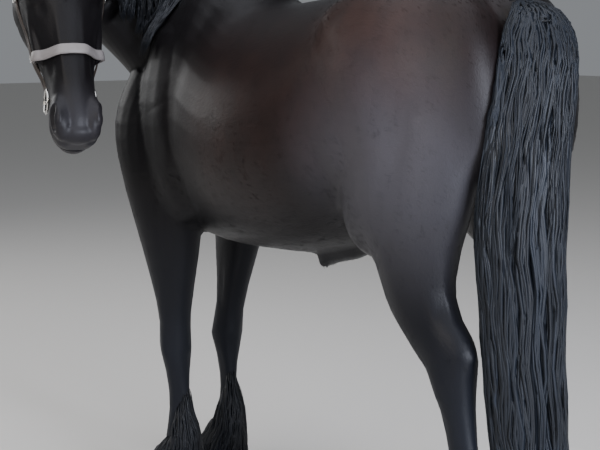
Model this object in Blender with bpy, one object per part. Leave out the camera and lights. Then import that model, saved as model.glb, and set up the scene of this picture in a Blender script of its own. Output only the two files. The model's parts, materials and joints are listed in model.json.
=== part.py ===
"""A Friesian horse at life size, standing still and looking back over its left shoulder.

The horse faces -Y, its left side is +X and the floor is at Z = 0. Lengths are in metres.
The flesh is lofted whole from a few stations, fused, and parted with thin flat cuts.
"""
import math
import random

import bmesh
import bpy
from mathutils import Matrix, Vector
from mathutils.bvhtree import BVHTree

# Driving dimensions
WITHERS = 1.60          # height at the withers
GAP = 0.0003            # room left between two pieces that touch
BODY_VOXEL = 0.012      # grid that fuses the trunk, neck and legs
HEAD_VOXEL = 0.0040     # finer grid for the head
BODY_FACES = 3300       # triangles kept on the trunk, neck and legs
HEAD_FACES = 2900       # triangles kept on the head and the neck just behind it
STRAIGHT = 0.0004       # an edge that bends by less than this counts as straight
CLEAR = 0.0010          # room between a lock of hair and any other piece
FLOOR_ROOM = 0.010      # least height of a tip of hair over the floor

# Places of the main landmarks
POLL = Vector((0.477, -0.561, 1.681))
FACE_DOWN = Vector((0.156, 0.420, -0.896)).normalized()    # from the poll to the muzzle
HEAD_LEFT = Vector((-0.937, 0.348, 0.0)).normalized()      # across the head, to its left
FACE_OUT = FACE_DOWN.cross(HEAD_LEFT).normalized()         # out of the forehead
HEAD_STRETCH = 0.935    # length of the head against its listed stations
FORE_TOE_OUT = math.radians(16)
HIND_TOE_OUT = math.radians(6)
FLOOR_CENTRE = Vector((0.1561, 0.0906, 0.0))     # middle of the whole model, seen from above

COLOURS = {
    "coat": ((0.012, 0.010, 0.010), 0.42, 0.0),
    "hair": ((0.010, 0.010, 0.013), 0.50, 0.0),
    "hoof": ((0.030, 0.027, 0.025), 0.45, 0.0),
    "eye": ((0.006, 0.004, 0.003), 0.06, 0.0),
    "strap": ((0.012, 0.010, 0.009), 0.50, 0.0),
    "band": ((0.42, 0.40, 0.40), 0.55, 0.0),
    "steel": ((0.60, 0.60, 0.60), 0.22, 1.0),
}


def clear_scene():
    for obj in list(bpy.data.objects):
        bpy.data.objects.remove(obj, do_unlink=True)


def material(kind):
    found = bpy.data.materials.get(kind)
    if found:
        return found
    colour, roughness, metallic = COLOURS[kind]
    made = bpy.data.materials.new(kind)
    made.use_nodes = True
    shader = made.node_tree.nodes["Principled BSDF"]
    shader.inputs["Base Color"].default_value = (*colour, 1.0)
    shader.inputs["Roughness"].default_value = roughness
    shader.inputs["Metallic"].default_value = metallic
    return made


def new_object(name, verts, faces, kind="coat"):
    mesh = bpy.data.meshes.new(name)
    mesh.from_pydata([tuple(v) for v in verts], [], faces)
    mesh.update()
    obj = bpy.data.objects.new(name, mesh)
    bpy.context.scene.collection.objects.link(obj)
    mesh.materials.append(material(kind))
    return obj


def face_outwards(obj):
    work = bmesh.new()
    work.from_mesh(obj.data)
    bmesh.ops.recalc_face_normals(work, faces=work.faces)
    if work.calc_volume(signed=True) < 0:
        bmesh.ops.reverse_faces(work, faces=work.faces)
    work.to_mesh(obj.data)
    work.free()


def between(rows, steps):
    """Rows of numbers, filled in by a smooth curve that passes through each of them."""
    filled = []
    last = len(rows) - 1
    for i in range(last):
        before = rows[max(i - 1, 0)]
        after = rows[min(i + 2, last)]
        for k in range(steps):
            t = k / steps
            row = []
            for p0, p1, p2, p3 in zip(before, rows[i], rows[i + 1], after):
                bend = 2 * p0 - 5 * p1 + 4 * p2 - p3
                turn = -p0 + 3 * p1 - 3 * p2 + p3
                row.append(0.5 * (2 * p1 + (p2 - p0) * t + bend * t * t + turn * t ** 3))
            filled.append(row)
    filled.append(list(rows[-1]))
    return filled


def tube_of(name, rings, kind="coat"):
    """Closed skin over rings of points, with a point at the middle of each end."""
    sides = len(rings[0])
    verts = [p for ring in rings for p in ring]
    faces = []
    for i in range(len(rings) - 1):
        for k in range(sides):
            a = i * sides + k
            b = i * sides + (k + 1) % sides
            faces.append((a, b, b + sides, a + sides))
    for start, flip in ((0, False), ((len(rings) - 1) * sides, True)):
        middle = sum((Vector(verts[start + k]) for k in range(sides)), Vector()) / sides
        verts.append(middle)
        for k in range(sides):
            edge = (start + (k + 1) % sides, start + k)
            faces.append((len(verts) - 1, *(edge[::-1] if flip else edge)))
    obj = new_object(name, verts, faces, kind)
    face_outwards(obj)
    return obj


def oval(centre, across, front, half, fore, aft, sides=20, square=2.0):
    """Ring round a centre: half wide to each side, fore deep to the front and aft to the back."""
    ring = []
    for k in range(sides):
        angle = math.tau * k / sides
        c = math.cos(angle)
        s = math.sin(angle)
        x = math.copysign(abs(c) ** (2 / square), c) * half
        y = math.copysign(abs(s) ** (2 / square), s) * (fore if s > 0 else aft)
        ring.append(centre + across * x + front * y)
    return ring


def ball(name, centre, radii, turn=None, rings=10, sides=14, kind="coat"):
    """Ellipsoid, turned by a matrix."""
    turn = turn or Matrix.Identity(3)
    rows = []
    for i in range(1, rings):
        lift = math.pi * i / rings
        row = []
        for k in range(sides):
            angle = math.tau * k / sides
            p = Vector((math.sin(lift) * math.cos(angle) * radii[0],
                        math.sin(lift) * math.sin(angle) * radii[1],
                        math.cos(lift) * radii[2]))
            row.append(Vector(centre) + turn @ p)
        rows.append(row)
    return tube_of(name, rows, kind)


def trunk():
    """Stations from breast to buttock: Y, belly height, back height, half width, squareness."""
    stations = [
        (-0.700, 1.030, 1.225, 0.070, 2.0),
        (-0.675, 0.950, 1.290, 0.150, 2.1),
        (-0.610, 0.865, 1.400, 0.208, 2.2),
        (-0.500, 0.805, 1.510, 0.232, 2.2),
        (-0.360, 0.778, WITHERS - 0.015, 0.250, 2.1),
        (-0.240, 0.776, 1.520, 0.276, 2.1),
        (-0.130, 0.780, 1.466, 0.300, 2.2),
        (0.040, 0.790, 1.472, 0.323, 2.25),
        (0.220, 0.826, 1.496, 0.328, 2.25),
        (0.360, 0.872, 1.532, 0.305, 2.25),
        (0.480, 0.930, 1.548, 0.288, 2.3),
        (0.590, 1.000, 1.528, 0.262, 2.3),
        (0.680, 1.060, 1.478, 0.222, 2.2),
        (0.750, 1.110, 1.400, 0.150, 2.1),
        (0.780, 1.160, 1.340, 0.070, 2.0),
    ]
    rings = []
    for y, low, high, half, square in between(stations, 3):
        ring = []
        middle = low + (high - low) * 0.46
        for k in range(32):
            angle = math.tau * k / 32
            c = math.cos(angle)
            s = math.sin(angle)
            reach = (high - middle) if s > 0 else (middle - low)
            narrow = 1.0 - 0.16 * max(s, 0.0) ** 2 - 0.10 * max(-s, 0.0) ** 2
            x = math.copysign(abs(c) ** (2 / square), c) * half * narrow
            z = math.copysign(abs(s) ** (2 / square), s) * reach
            ring.append(Vector((x, y, middle + z)))
        rings.append(ring)
    return tube_of("trunk_form", rings)


def limb(name, stations, yaw, mirror=1, sides=20):
    """Leg from stations of X, Y, Z, half width, depth to the front, depth to the back."""
    across = Vector((math.cos(yaw), math.sin(yaw) * mirror, 0))
    rows = between(stations, 3)
    points = [Vector((r[0], r[1], r[2])) for r in rows]
    rings = []
    for i, row in enumerate(rows):
        run = points[min(i + 1, len(rows) - 1)] - points[max(i - 1, 0)]
        front = across.cross(run).normalized()
        if front.y > 0:
            front.negate()
        rings.append(oval(points[i], across, front, row[3], row[4], row[5], sides, 2.15))
    return tube_of(name, rings)


def shifted(stations, near, ahead, side):
    """The same leg on the other side: X mirrored, and moved along Y more and more as it goes down."""
    top = stations[0][2]
    moved = []
    for x, y, z, half, fore, aft in stations:
        share = min(1.0, max(0.0, (top - z) / (top - 0.45)))
        moved.append((side * (x + near), y + ahead * share, z, half, fore, aft))
    return moved


FORE_LEG = [
    (0.150, -0.520, 1.260, 0.060, 0.110, 0.120),
    (0.165, -0.540, 1.120, 0.090, 0.140, 0.150),
    (0.165, -0.520, 0.980, 0.094, 0.128, 0.135),
    (0.158, -0.508, 0.860, 0.082, 0.108, 0.118),
    (0.150, -0.500, 0.760, 0.069, 0.092, 0.100),
    (0.144, -0.496, 0.660, 0.056, 0.072, 0.074),
    (0.139, -0.495, 0.560, 0.046, 0.053, 0.052),
    (0.136, -0.495, 0.500, 0.048, 0.050, 0.047),
    (0.135, -0.495, 0.455, 0.050, 0.049, 0.047),
    (0.134, -0.492, 0.405, 0.041, 0.040, 0.042),
    (0.134, -0.490, 0.340, 0.030, 0.033, 0.041),
    (0.134, -0.489, 0.270, 0.029, 0.031, 0.041),
    (0.134, -0.488, 0.215, 0.038, 0.038, 0.048),
    (0.135, -0.503, 0.160, 0.035, 0.037, 0.042),
    (0.136, -0.525, 0.110, 0.050, 0.050, 0.052),
    (0.137, -0.540, 0.060, 0.060, 0.062, 0.060),
]
HIND_LEG = [
    (0.120, 0.520, 1.330, 0.100, 0.150, 0.160),
    (0.158, 0.540, 1.200, 0.118, 0.200, 0.200),
    (0.172, 0.560, 1.070, 0.112, 0.200, 0.195),
    (0.180, 0.580, 0.960, 0.098, 0.176, 0.160),
    (0.182, 0.594, 0.860, 0.078, 0.124, 0.118),
    (0.182, 0.612, 0.770, 0.064, 0.098, 0.092),
    (0.180, 0.655, 0.690, 0.054, 0.078, 0.078),
    (0.178, 0.700, 0.625, 0.052, 0.066, 0.082),
    (0.176, 0.716, 0.570, 0.051, 0.062, 0.058),
    (0.175, 0.728, 0.500, 0.040, 0.044, 0.048),
    (0.174, 0.744, 0.410, 0.033, 0.038, 0.044),
    (0.174, 0.764, 0.300, 0.032, 0.036, 0.044),
    (0.174, 0.782, 0.220, 0.040, 0.041, 0.050),
    (0.174, 0.772, 0.160, 0.036, 0.039, 0.042),
    (0.175, 0.754, 0.110, 0.050, 0.050, 0.052),
    (0.175, 0.742, 0.060, 0.058, 0.062, 0.060),
]
FAR_FORE = (0.0, -0.115)      # room added sideways, and how far the far forefoot is set ahead
FAR_HIND = (0.0, -0.070)

LEGS = {
    "fore_left": (FORE_LEG, FORE_TOE_OUT, 1),
    "fore_right": (shifted(FORE_LEG, *FAR_FORE, -1), FORE_TOE_OUT, -1),
    "hind_left": (HIND_LEG, HIND_TOE_OUT, 1),
    "hind_right": (shifted(HIND_LEG, *FAR_HIND, -1), HIND_TOE_OUT, -1),
}

NECK_BASE = Vector((0.0, -0.400, 1.235))
NECK_TURN = math.radians(150)
NECK_RUN = 0.665        # length of the neck seen from above
NECK_RISE = 0.400


def neck_point(share):
    """Middle of the neck, where 0 is inside the shoulders and 1 is behind the poll."""
    steps = 24
    x = 0.0
    y = 0.0
    for i in range(steps):
        s = (i + 0.5) / steps * share
        heading = NECK_TURN * (0.90 * s + 0.10 * s * (2 - s))
        x += math.sin(heading) * NECK_RUN * share / steps
        y -= math.cos(heading) * NECK_RUN * share / steps
    lift = NECK_RISE * (1.12 * share - 0.12 * share * share)
    return NECK_BASE + Vector((x, y, lift))


# Share of the neck's length, half width, depth to the crest and depth to the throat
NECK = [
    (-0.12, 0.200, 0.330, 0.300),
    (0.00, 0.192, 0.335, 0.284),
    (0.16, 0.168, 0.300, 0.228),
    (0.36, 0.132, 0.246, 0.160),
    (0.56, 0.106, 0.208, 0.122),
    (0.74, 0.090, 0.178, 0.112),
    (0.86, 0.080, 0.150, 0.105),
    (0.94, 0.062, 0.105, 0.085),
]


def neck_section(share):
    """Half width, crest and throat of the neck at a share of its length."""
    for low, high in zip(NECK, NECK[1:]):
        if low[0] <= share <= high[0]:
            t = (share - low[0]) / (high[0] - low[0])
            return [a + (b - a) * t for a, b in zip(low[1:], high[1:])]
    return list(NECK[-1][1:])


def neck():
    rings = []
    for share, half, crest, throat in between(NECK, 4):
        here = neck_point(share)
        run = (neck_point(share + 0.02) - neck_point(share - 0.02)).normalized()
        across = Vector((-run.y, run.x, 0)).normalized()
        up = run.cross(across).normalized()
        if up.z < 0:
            up.negate()
        rings.append(oval(here, across, up, half, crest, throat, 24, 2.1))
    return tube_of("neck_form", rings)


def head_at(left, out, down):
    """A place on the head: to its left, out of the face and down from the poll."""
    return POLL + HEAD_LEFT * left + FACE_OUT * out + FACE_DOWN * (down * HEAD_STRETCH)


def head():
    """Stations down the head: distance from the poll, half width, face, jaw, squareness."""
    stations = [
        (-0.030, 0.050, 0.010, -0.085, 2.0),
        (0.020, 0.080, 0.040, -0.145, 2.1),
        (0.090, 0.106, 0.060, -0.215, 2.3),
        (0.165, 0.120, 0.068, -0.252, 2.5),
        (0.230, 0.121, 0.068, -0.260, 2.6),
        (0.300, 0.110, 0.062, -0.242, 2.6),
        (0.365, 0.089, 0.054, -0.202, 2.6),
        (0.430, 0.075, 0.048, -0.162, 2.5),
        (0.495, 0.066, 0.043, -0.134, 2.5),
        (0.550, 0.064, 0.040, -0.122, 2.5),
        (0.600, 0.068, 0.038, -0.118, 2.5),
        (0.650, 0.066, 0.030, -0.114, 2.5),
        (0.683, 0.054, 0.010, -0.096, 2.3),
        (0.697, 0.034, -0.014, -0.070, 2.0),
    ]
    rings = []
    for down, half, face, jaw, square in between(stations, 3):
        middle = (face + jaw) / 2
        reach = (face - jaw) / 2
        centre = head_at(0, middle, down)
        ring = []
        for k in range(28):
            angle = math.tau * k / 28
            c = math.cos(angle)
            s = math.sin(angle)
            narrow = 1.0 - 0.30 * max(s, 0.0) ** 3 - 0.22 * max(-s, 0.0)
            x = math.copysign(abs(c) ** (2 / square), c) * half * narrow
            y = math.copysign(abs(s) ** (2 / square), s) * reach
            ring.append(centre + HEAD_LEFT * x + FACE_OUT * y)
        rings.append(ring)
    return tube_of("head_form", rings)


def muscles():
    """Round forms that give the shoulder, breast, haunch and buttocks their swell."""
    made = []
    for side in (1, -1):
        made.append(ball("m", (side * 0.125, -0.596, 1.075), (0.098, 0.102, 0.155)))
        made.append(ball("m", (side * 0.165, -0.420, 1.120), (0.090, 0.190, 0.290)))
        made.append(ball("m", (side * 0.150, 0.450, 1.240), (0.155, 0.290, 0.270)))
        made.append(ball("m", (side * 0.118, 0.630, 1.230), (0.120, 0.165, 0.270)))
        made.append(ball("m", (side * 0.190, 0.450, 0.990), (0.078, 0.110, 0.150)))
    return made


def face_forms():
    """Swell over the eyes, the cheek ridges, the wings of the nostrils, the lips and the chin."""
    turn = Matrix((HEAD_LEFT, FACE_OUT, FACE_DOWN)).transposed()
    made = [
        ball("m", head_at(0, -0.082, 0.662), (0.044, 0.036, 0.034), turn),
        ball("m", head_at(0, -0.010, 0.668), (0.054, 0.036, 0.030), turn),
    ]
    for side in (1, -1):
        made.append(ball("m", head_at(side * 0.072, 0.000, 0.206), (0.042, 0.056, 0.078), turn))
        made.append(ball("m", head_at(side * 0.084, 0.010, 0.196), (0.026, 0.030, 0.040), turn))
        made.append(ball("m", head_at(side * 0.078, -0.030, 0.320), (0.024, 0.020, 0.120), turn))
        made.append(ball("m", head_at(side * 0.040, -0.006, 0.618), (0.032, 0.042, 0.070), turn))
        made.append(ball("m", head_at(side * 0.053, 0.014, 0.628), (0.017, 0.022, 0.034), turn))
    return made


def arc_of(name, centre, radius, thick, start, end, tilt, side, steps=10, kind="coat"):
    """Round rod along part of a circle that faces sideways out of the head, thinning to its ends."""
    rings = []
    for i in range(steps + 1):
        share = i / steps
        angle = start + (end - start) * share
        around = FACE_OUT * math.sin(angle) + FACE_DOWN * math.cos(angle)
        outward = HEAD_LEFT * side
        spine = centre + around * radius + outward * (tilt * math.sin(math.pi * share))
        half = thick * (0.45 + 0.55 * math.sin(math.pi * share))
        rings.append(oval(spine, around, outward, half, half, half, 6))
    return tube_of(name, rings, kind)


def lids(side):
    """Upper and lower lid round one eye."""
    centre = head_at(side * (EYE_PLACE[0] + 0.006), EYE_PLACE[1], EYE_PLACE[2])
    upper = arc_of("lid", centre, EYE_RADIUS * 0.98, 0.0062, math.radians(-8), math.radians(188), 0.006, side)
    lower = arc_of("lid", centre, EYE_RADIUS * 0.96, 0.0048, math.radians(188), math.radians(352), 0.002, side)
    return [upper, lower]


def nostril(side):
    """Deep comma at the side of the muzzle."""
    turn = Matrix((HEAD_LEFT, FACE_OUT, FACE_DOWN)).transposed() @ Matrix.Rotation(side * 0.45, 3, "Z")
    return ball("cutter", head_at(side * 0.076, 0.014, 0.634), (0.022, 0.011, 0.024), turn, 8, 12)


def mouth_line():
    """Groove between the lips, from one corner of the mouth round the front to the other."""
    rings = []
    lean = FACE_OUT * 0.995 + FACE_DOWN * 0.10
    for i in range(25):
        angle = math.radians(-100 + 200 * i / 24)
        ring = []
        for reach, rise in ((0.78, -0.0022), (1.50, -0.0022), (1.50, 0.0022), (0.78, 0.0022)):
            down = 0.590 + 0.114 * reach * math.cos(angle)
            left = 0.076 * reach * math.sin(angle)
            out = -0.062 + (down - 0.640) * -0.10
            ring.append(head_at(left, out, down) + lean * rise)
        rings.append(ring)
    return tube_of("cutter", rings)


def join(objects, name):
    bpy.ops.object.select_all(action="DESELECT")
    for obj in objects:
        obj.select_set(True)
    bpy.context.view_layer.objects.active = objects[0]
    bpy.ops.object.join()
    joined = bpy.context.view_layer.objects.active
    joined.name = name
    return joined


def apply_modifier(obj, kind, **settings):
    bpy.ops.object.select_all(action="DESELECT")
    obj.select_set(True)
    bpy.context.view_layer.objects.active = obj
    modifier = obj.modifiers.new("work", kind)
    for key, value in settings.items():
        setattr(modifier, key, value)
    bpy.ops.object.modifier_apply(modifier=modifier.name)


def copy_of(obj, name):
    twin = obj.copy()
    twin.data = obj.data.copy()
    twin.name = name
    bpy.context.scene.collection.objects.link(twin)
    return twin


def fuse(obj, voxel, smoothing):
    """One closed skin over overlapping forms, smoothed."""
    apply_modifier(obj, "REMESH", mode="VOXEL", voxel_size=voxel, adaptivity=0.0)
    apply_modifier(obj, "SMOOTH", factor=0.5, iterations=smoothing)
    keep_largest(obj)


def thin_out(obj, faces):
    """Fewer and larger triangles, most of them left where the surface bends."""
    work = bmesh.new()
    work.from_mesh(obj.data)
    bmesh.ops.triangulate(work, faces=work.faces)
    count = len(work.faces)
    work.to_mesh(obj.data)
    work.free()
    apply_modifier(obj, "DECIMATE", ratio=faces / count)
    face_outwards(obj)
    keep_largest(obj)


def drop_straight_points(work):
    """Takes out points that only sit in the middle of a straight edge between two faces."""
    spare = []
    for vert in work.verts:
        if len(vert.link_edges) == 2:
            near, far = [edge.other_vert(vert).co for edge in vert.link_edges]
            bend = (vert.co - near).cross(far - near).length / max((far - near).length, 1e-9)
            if bend < STRAIGHT:
                spare.append(vert)
    bmesh.ops.dissolve_verts(work, verts=spare)


def untangle(work):
    """Where two thin faces were both cut along one line, cuts one of them the other way."""
    for edge in [e for e in work.edges if len(e.link_faces) == 4]:
        start, end = edge.verts
        onward = []
        backward = []
        for face in edge.link_faces:
            loop = next(l for l in face.loops if l.edge == edge)
            apex = loop.link_loop_next.link_loop_next.vert
            (onward if loop.vert == start else backward).append((face, apex))
        if len(onward) != 2 or len(backward) != 2:
            continue
        straight = sum(onward[i][0].normal.dot(backward[i][0].normal) for i in range(2))
        crossed = sum(onward[i][0].normal.dot(backward[1 - i][0].normal) for i in range(2))
        if crossed > straight:
            backward.reverse()
        for (one, apex), (two, other) in zip(onward, backward):
            if work.edges.get((apex, other)) or apex == other:
                continue
            first = (other.co - start.co).cross(apex.co - start.co)
            second = (end.co - other.co).cross(apex.co - other.co)
            if first.dot(one.normal) > 0 and second.dot(one.normal) > 0:
                bmesh.ops.delete(work, geom=[one, two], context="FACES_ONLY")
                work.faces.new((start, other, apex))
                work.faces.new((other, end, apex))
                break
    work.normal_update()


def keep_largest(obj):
    """Only the largest closed surface of the mesh stays."""
    work = bmesh.new()
    work.from_mesh(obj.data)
    drop_straight_points(work)
    bmesh.ops.triangulate(work, faces=work.faces)
    untangle(work)
    left = set(work.faces)
    islands = []
    while left:
        stack = [left.pop()]
        island = [stack[0]]
        while stack:
            face = stack.pop()
            for edge in face.edges:
                for other in edge.link_faces:
                    if other in left:
                        left.remove(other)
                        stack.append(other)
                        island.append(other)
        islands.append(island)
    islands.sort(key=lambda island: sum(face.calc_area() for face in island))
    drop = [face for island in islands[:-1] for face in island]
    bmesh.ops.delete(work, geom=drop, context="FACES")
    loose = [v for v in work.verts if not v.link_faces]
    bmesh.ops.delete(work, geom=loose, context="VERTS")
    work.to_mesh(obj.data)
    work.free()


def wedge(face_centre, axis, across, near, far, length, grow=0.0):
    """Convex cutter that starts at a flat face and widens along its axis."""
    axis = Vector(axis).normalized()
    across = (Vector(across) - axis * Vector(across).dot(axis)).normalized()
    third = axis.cross(across)
    start = Vector(face_centre) - axis * grow
    verts = []
    for reach, half in ((0.0, near), (length, far)):
        for i, j in ((-1, -1), (1, -1), (1, 1), (-1, 1)):
            verts.append(start + axis * reach + across * i * half[0] + third * j * half[1])
    faces = [(0, 1, 2, 3), (7, 6, 5, 4), (0, 4, 5, 1), (1, 5, 6, 2), (2, 6, 7, 3), (3, 7, 4, 0)]
    obj = new_object("cutter", verts, faces)
    face_outwards(obj)
    return obj


def boolean(obj, cutter, operation):
    apply_modifier(obj, "BOOLEAN", operation=operation, object=cutter, solver="EXACT")
    bpy.data.objects.remove(cutter, do_unlink=True)
    keep_largest(obj)


def part_off(whole, name, *cut):
    """Takes the piece beyond a cut face off the whole, with a thin gap between the two."""
    piece = copy_of(whole, name)
    boolean(piece, wedge(*cut, grow=-GAP / 2), "INTERSECT")
    boolean(whole, wedge(*cut, grow=GAP / 2), "DIFFERENCE")
    return piece


def body_flesh():
    """Trunk, neck, legs and a rough head as one skin."""
    forms = [trunk(), neck(), head(), dock(), sheath(), *muscles()]
    for name, (stations, yaw, side) in LEGS.items():
        forms.append(limb(name + "_form", stations, yaw, side))
    whole = join(forms, "torso")
    fuse(whole, BODY_VOXEL, 14)
    thin_out(whole, BODY_FACES)
    return whole


def head_flesh():
    """Head and the neck behind it as one finer skin, with nostrils and mouth line cut in."""
    forms = [neck(), head(), *ear_stumps(), *face_forms()]
    for side in (1, -1):
        forms += lids(side)
    whole = join(forms, "head_flesh")
    fuse(whole, HEAD_VOXEL, 7)
    for side in (1, -1):
        boolean(whole, nostril(side), "DIFFERENCE")
    boolean(whole, mouth_line(), "DIFFERENCE")
    thin_out(whole, HEAD_FACES)
    return whole


def dock():
    """The fleshy root of the tail, from inside the croup to just behind it."""
    stations = [(0.62, 1.450, 0.050), (0.70, 1.442, 0.046), (0.76, 1.425, 0.040), (0.81, 1.398, 0.034)]
    rings = []
    for y, z, half in between(stations, 3):
        rings.append(oval(Vector((0, y, z)), Vector((1, 0, 0)), Vector((0, 0.35, 0.94)), half, half, half, 14))
    return tube_of("dock_form", rings)


def sheath():
    """The fold of skin under the belly, ahead of the hind legs."""
    stations = [(0.260, 0.870, 0.040), (0.160, 0.822, 0.052), (0.080, 0.795, 0.048),
                (0.035, 0.768, 0.038), (0.014, 0.744, 0.028)]
    rings = []
    for y, z, half in between(stations, 3):
        rings.append(oval(Vector((0, y, z)), Vector((1, 0, 0)), Vector((0, -0.5, 0.86)), half, half * 0.8,
                          half * 0.8, 14))
    return tube_of("sheath_form", rings)


EAR_BASE = (0.052, -0.008, -0.026)      # left of the middle, out of the face, down from the poll
EAR_LENGTH = 0.150


def ear_frame(side):
    """Foot of an ear, its axis, and the way its cup opens."""
    foot = head_at(side * EAR_BASE[0], EAR_BASE[1], EAR_BASE[2])
    axis = (FACE_DOWN * -0.94 + HEAD_LEFT * side * 0.22 + FACE_OUT * 0.10).normalized()
    opening = (FACE_OUT * 0.90 + HEAD_LEFT * side * 0.45)
    opening = (opening - axis * opening.dot(axis)).normalized()
    return foot, axis, opening


def ear_stumps():
    made = []
    for side in (1, -1):
        foot, axis, _ = ear_frame(side)
        made.append(ball("m", foot - axis * 0.014, (0.029, 0.029, 0.029)))
    return made


def ear(side):
    """A pointed leaf, cupped on the side that it opens to."""
    foot, axis, opening = ear_frame(side)
    across = axis.cross(opening).normalized()
    rows = [
        (0.00, 0.024, 0.020, 0.000),
        (0.14, 0.029, 0.022, 0.002),
        (0.34, 0.034, 0.020, 0.004),
        (0.58, 0.030, 0.016, 0.006),
        (0.80, 0.018, 0.010, 0.011),
        (0.95, 0.007, 0.005, 0.017),
        (1.00, 0.002, 0.002, 0.020),
    ]
    rings = []
    hollow = []
    for share, half, deep, lean in between(rows, 2):
        centre = foot + axis * (GAP + EAR_LENGTH * share) + opening * lean
        rings.append(oval(centre, across, opening, half, deep, deep, 8))
        if 0.12 < share < 0.97:
            hollow.append(oval(centre + opening * (deep * 0.75), across, opening,
                               half * 0.78, deep * 1.2, deep * 1.2, 8))
    shell = tube_of("ear_left" if side > 0 else "ear_right", rings)
    boolean(shell, tube_of("cutter", hollow), "DIFFERENCE")
    return shell


EYE_PLACE = (0.098, 0.008, 0.212)
EYE_RADIUS = 0.0230


def eye(side, head_piece):
    """The eyeball, in a socket cut for it."""
    centre = head_at(side * EYE_PLACE[0], EYE_PLACE[1], EYE_PLACE[2])
    socket = EYE_RADIUS + GAP
    boolean(head_piece, ball("cutter", centre, (socket, socket, socket), None, 9, 14), "DIFFERENCE")
    name = "eye_left" if side > 0 else "eye_right"
    return ball(name, centre, (EYE_RADIUS, EYE_RADIUS, EYE_RADIUS), None, 9, 14, "eye")


def crossing(rows, z):
    """Station of a leg at a height, from its listed stations."""
    for upper, lower in zip(rows, rows[1:]):
        if upper[2] >= z >= lower[2]:
            t = (upper[2] - z) / (upper[2] - lower[2])
            return [a + (b - a) * t for a, b in zip(upper, lower)]
    return list(rows[-1])


HOOF_SLOPE = math.radians(22)      # fall of the coronet from toe to heel


def coronet(stations, yaw, side):
    """Middle of the hoof's upper rim, the way across the hoof, forward, and out of the rim's plane."""
    x, y, z, *_ = crossing(stations, 0.080)
    across = Vector((math.cos(yaw), math.sin(yaw) * side, 0))
    ahead = Vector((math.sin(yaw) * side, -math.cos(yaw), 0))
    rim = (Vector((0, 0, 1)) * math.cos(HOOF_SLOPE) - ahead * math.sin(HOOF_SLOPE)).normalized()
    return Vector((x, y, z)), across, ahead, rim


def hoof(name, stations, yaw, side):
    """Wall of the hoof, flat on the ground and sloped at the toe."""
    middle, across, ahead, rim = coronet(stations, yaw, side)
    top = middle - rim * GAP
    slope = math.tan(HOOF_SLOPE)
    rings = []
    for drop in (0.0, 0.12, 0.5, 0.94, 1.0):
        flare = 0.054 + 0.016 * drop - (0.002 if drop in (0.0, 1.0) else 0.0)
        centre = top + ahead * (0.030 * drop)
        ring = oval(Vector((centre.x, centre.y, 0)), across, ahead, flare, flare * 1.10, flare * 0.98, 20)
        for p in ring:
            p.z = (top.z + (p - centre).dot(ahead) * slope) * (1 - drop)
        rings.append(ring)
    return tube_of(name, rings, "hoof")


KNEE_CUT = 0.415
HOCK_CUT = 0.540


def legs(whole):
    """Parts each leg off the trunk, and its lower half and hoof off the leg."""
    pieces = []
    for name, (stations, yaw, side) in LEGS.items():
        fore = name.startswith("fore")
        ahead = FAR_FORE[1] if fore else FAR_HIND[1]
        shift = 0.0 if side > 0 else ahead * 0.5
        if fore:
            face = (side * 0.165, -0.528 + shift, 0.850)
            cut = (face, (side * 0.53, 0, -0.85), (0, 1, 0), (0.158, 0.150), (0.26, 0.79), 1.0)
        else:
            face = (side * 0.165, 0.585 + shift, 0.975)
            cut = (face, (side * 0.35, 0.40, -0.85), (1, 0, 0), (0.145, 0.290), (0.60, 0.60), 1.2)
        upper = part_off(whole, f"{name[:4]}leg_upper_{name[5:]}", *cut)
        height = KNEE_CUT if fore else HOCK_CUT
        x, y, *_ = crossing(stations, height)
        lower = part_off(upper, f"{name[:4]}leg_lower_{name[5:]}", (x, y, height), (0, 0, -1), (1, 0, 0),
                         (0.15, 0.15), (0.25, 0.25), 0.6)
        middle, across, _, rim = coronet(stations, yaw, side)
        boolean(lower, wedge(middle, -rim, across, (0.15, 0.15), (0.2, 0.2), 0.3), "DIFFERENCE")
        pieces += [upper, lower, hoof(f"hoof_{name}", stations, yaw, side)]
    return pieces


THROAT_CUT = (head_at(0, -0.150, 0.065), FACE_OUT * 0.754 + FACE_DOWN * 0.656, HEAD_LEFT,
              (0.17, 0.25), (0.25, 0.60), 0.75)
NECK_CUT = ((0.17, -0.560, 1.390), (0.12, -0.80, 0.58), (1, 0, 0), (0.60, 0.36), (0.70, 0.50), 0.80)
DOCK_CUT = ((0, 0.752, 1.425), (0, 0.94, -0.34), (1, 0, 0), (0.07, 0.055), (0.09, 0.08), 0.12)


TAIL_PATH = [
    (0.000, 0.780, 1.420, 0.036, 0.030),
    (0.020, 0.820, 1.380, 0.072, 0.038),
    (0.044, 0.838, 1.290, 0.090, 0.044),
    (0.074, 0.845, 1.140, 0.098, 0.050),
    (0.096, 0.848, 0.950, 0.106, 0.055),
    (0.093, 0.854, 0.750, 0.102, 0.056),
    (0.087, 0.861, 0.550, 0.096, 0.054),
    (0.073, 0.877, 0.360, 0.088, 0.050),
    (0.053, 0.902, 0.200, 0.074, 0.042),
    (0.039, 0.920, 0.070, 0.046, 0.028),
]
TAIL_WIDE = Vector((-0.779, 0.627, 0)).normalized()     # the way the hanging hair spreads
TAIL_CORE = 0.52        # share of the tail that has a solid middle
TAIL_CORE_DEPTH = 0.030     # of that middle under the tail's skin
# How many locks, where they start and end along the tail, depth under its skin, width
TAIL_TIERS = [
    (9, 0.03, 0.64, 0.010, 0.054),
    (10, 0.20, 0.88, 0.022, 0.054),
    (8, 0.38, 1.00, 0.034, 0.058),
]
TAIL_LOCK_THICK = 0.0105
TAIL_ROOM = 0.010       # between the tail's locks and the buttocks that they hang against
LOCK_WIDTH = (0.85, 1.00, 1.00, 0.88, 0.62, 0.10)      # of a lock's width, from root to tip
LOCK_DEPTH = (0.80, 1.00, 1.00, 0.85, 0.60, 0.16)


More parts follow.
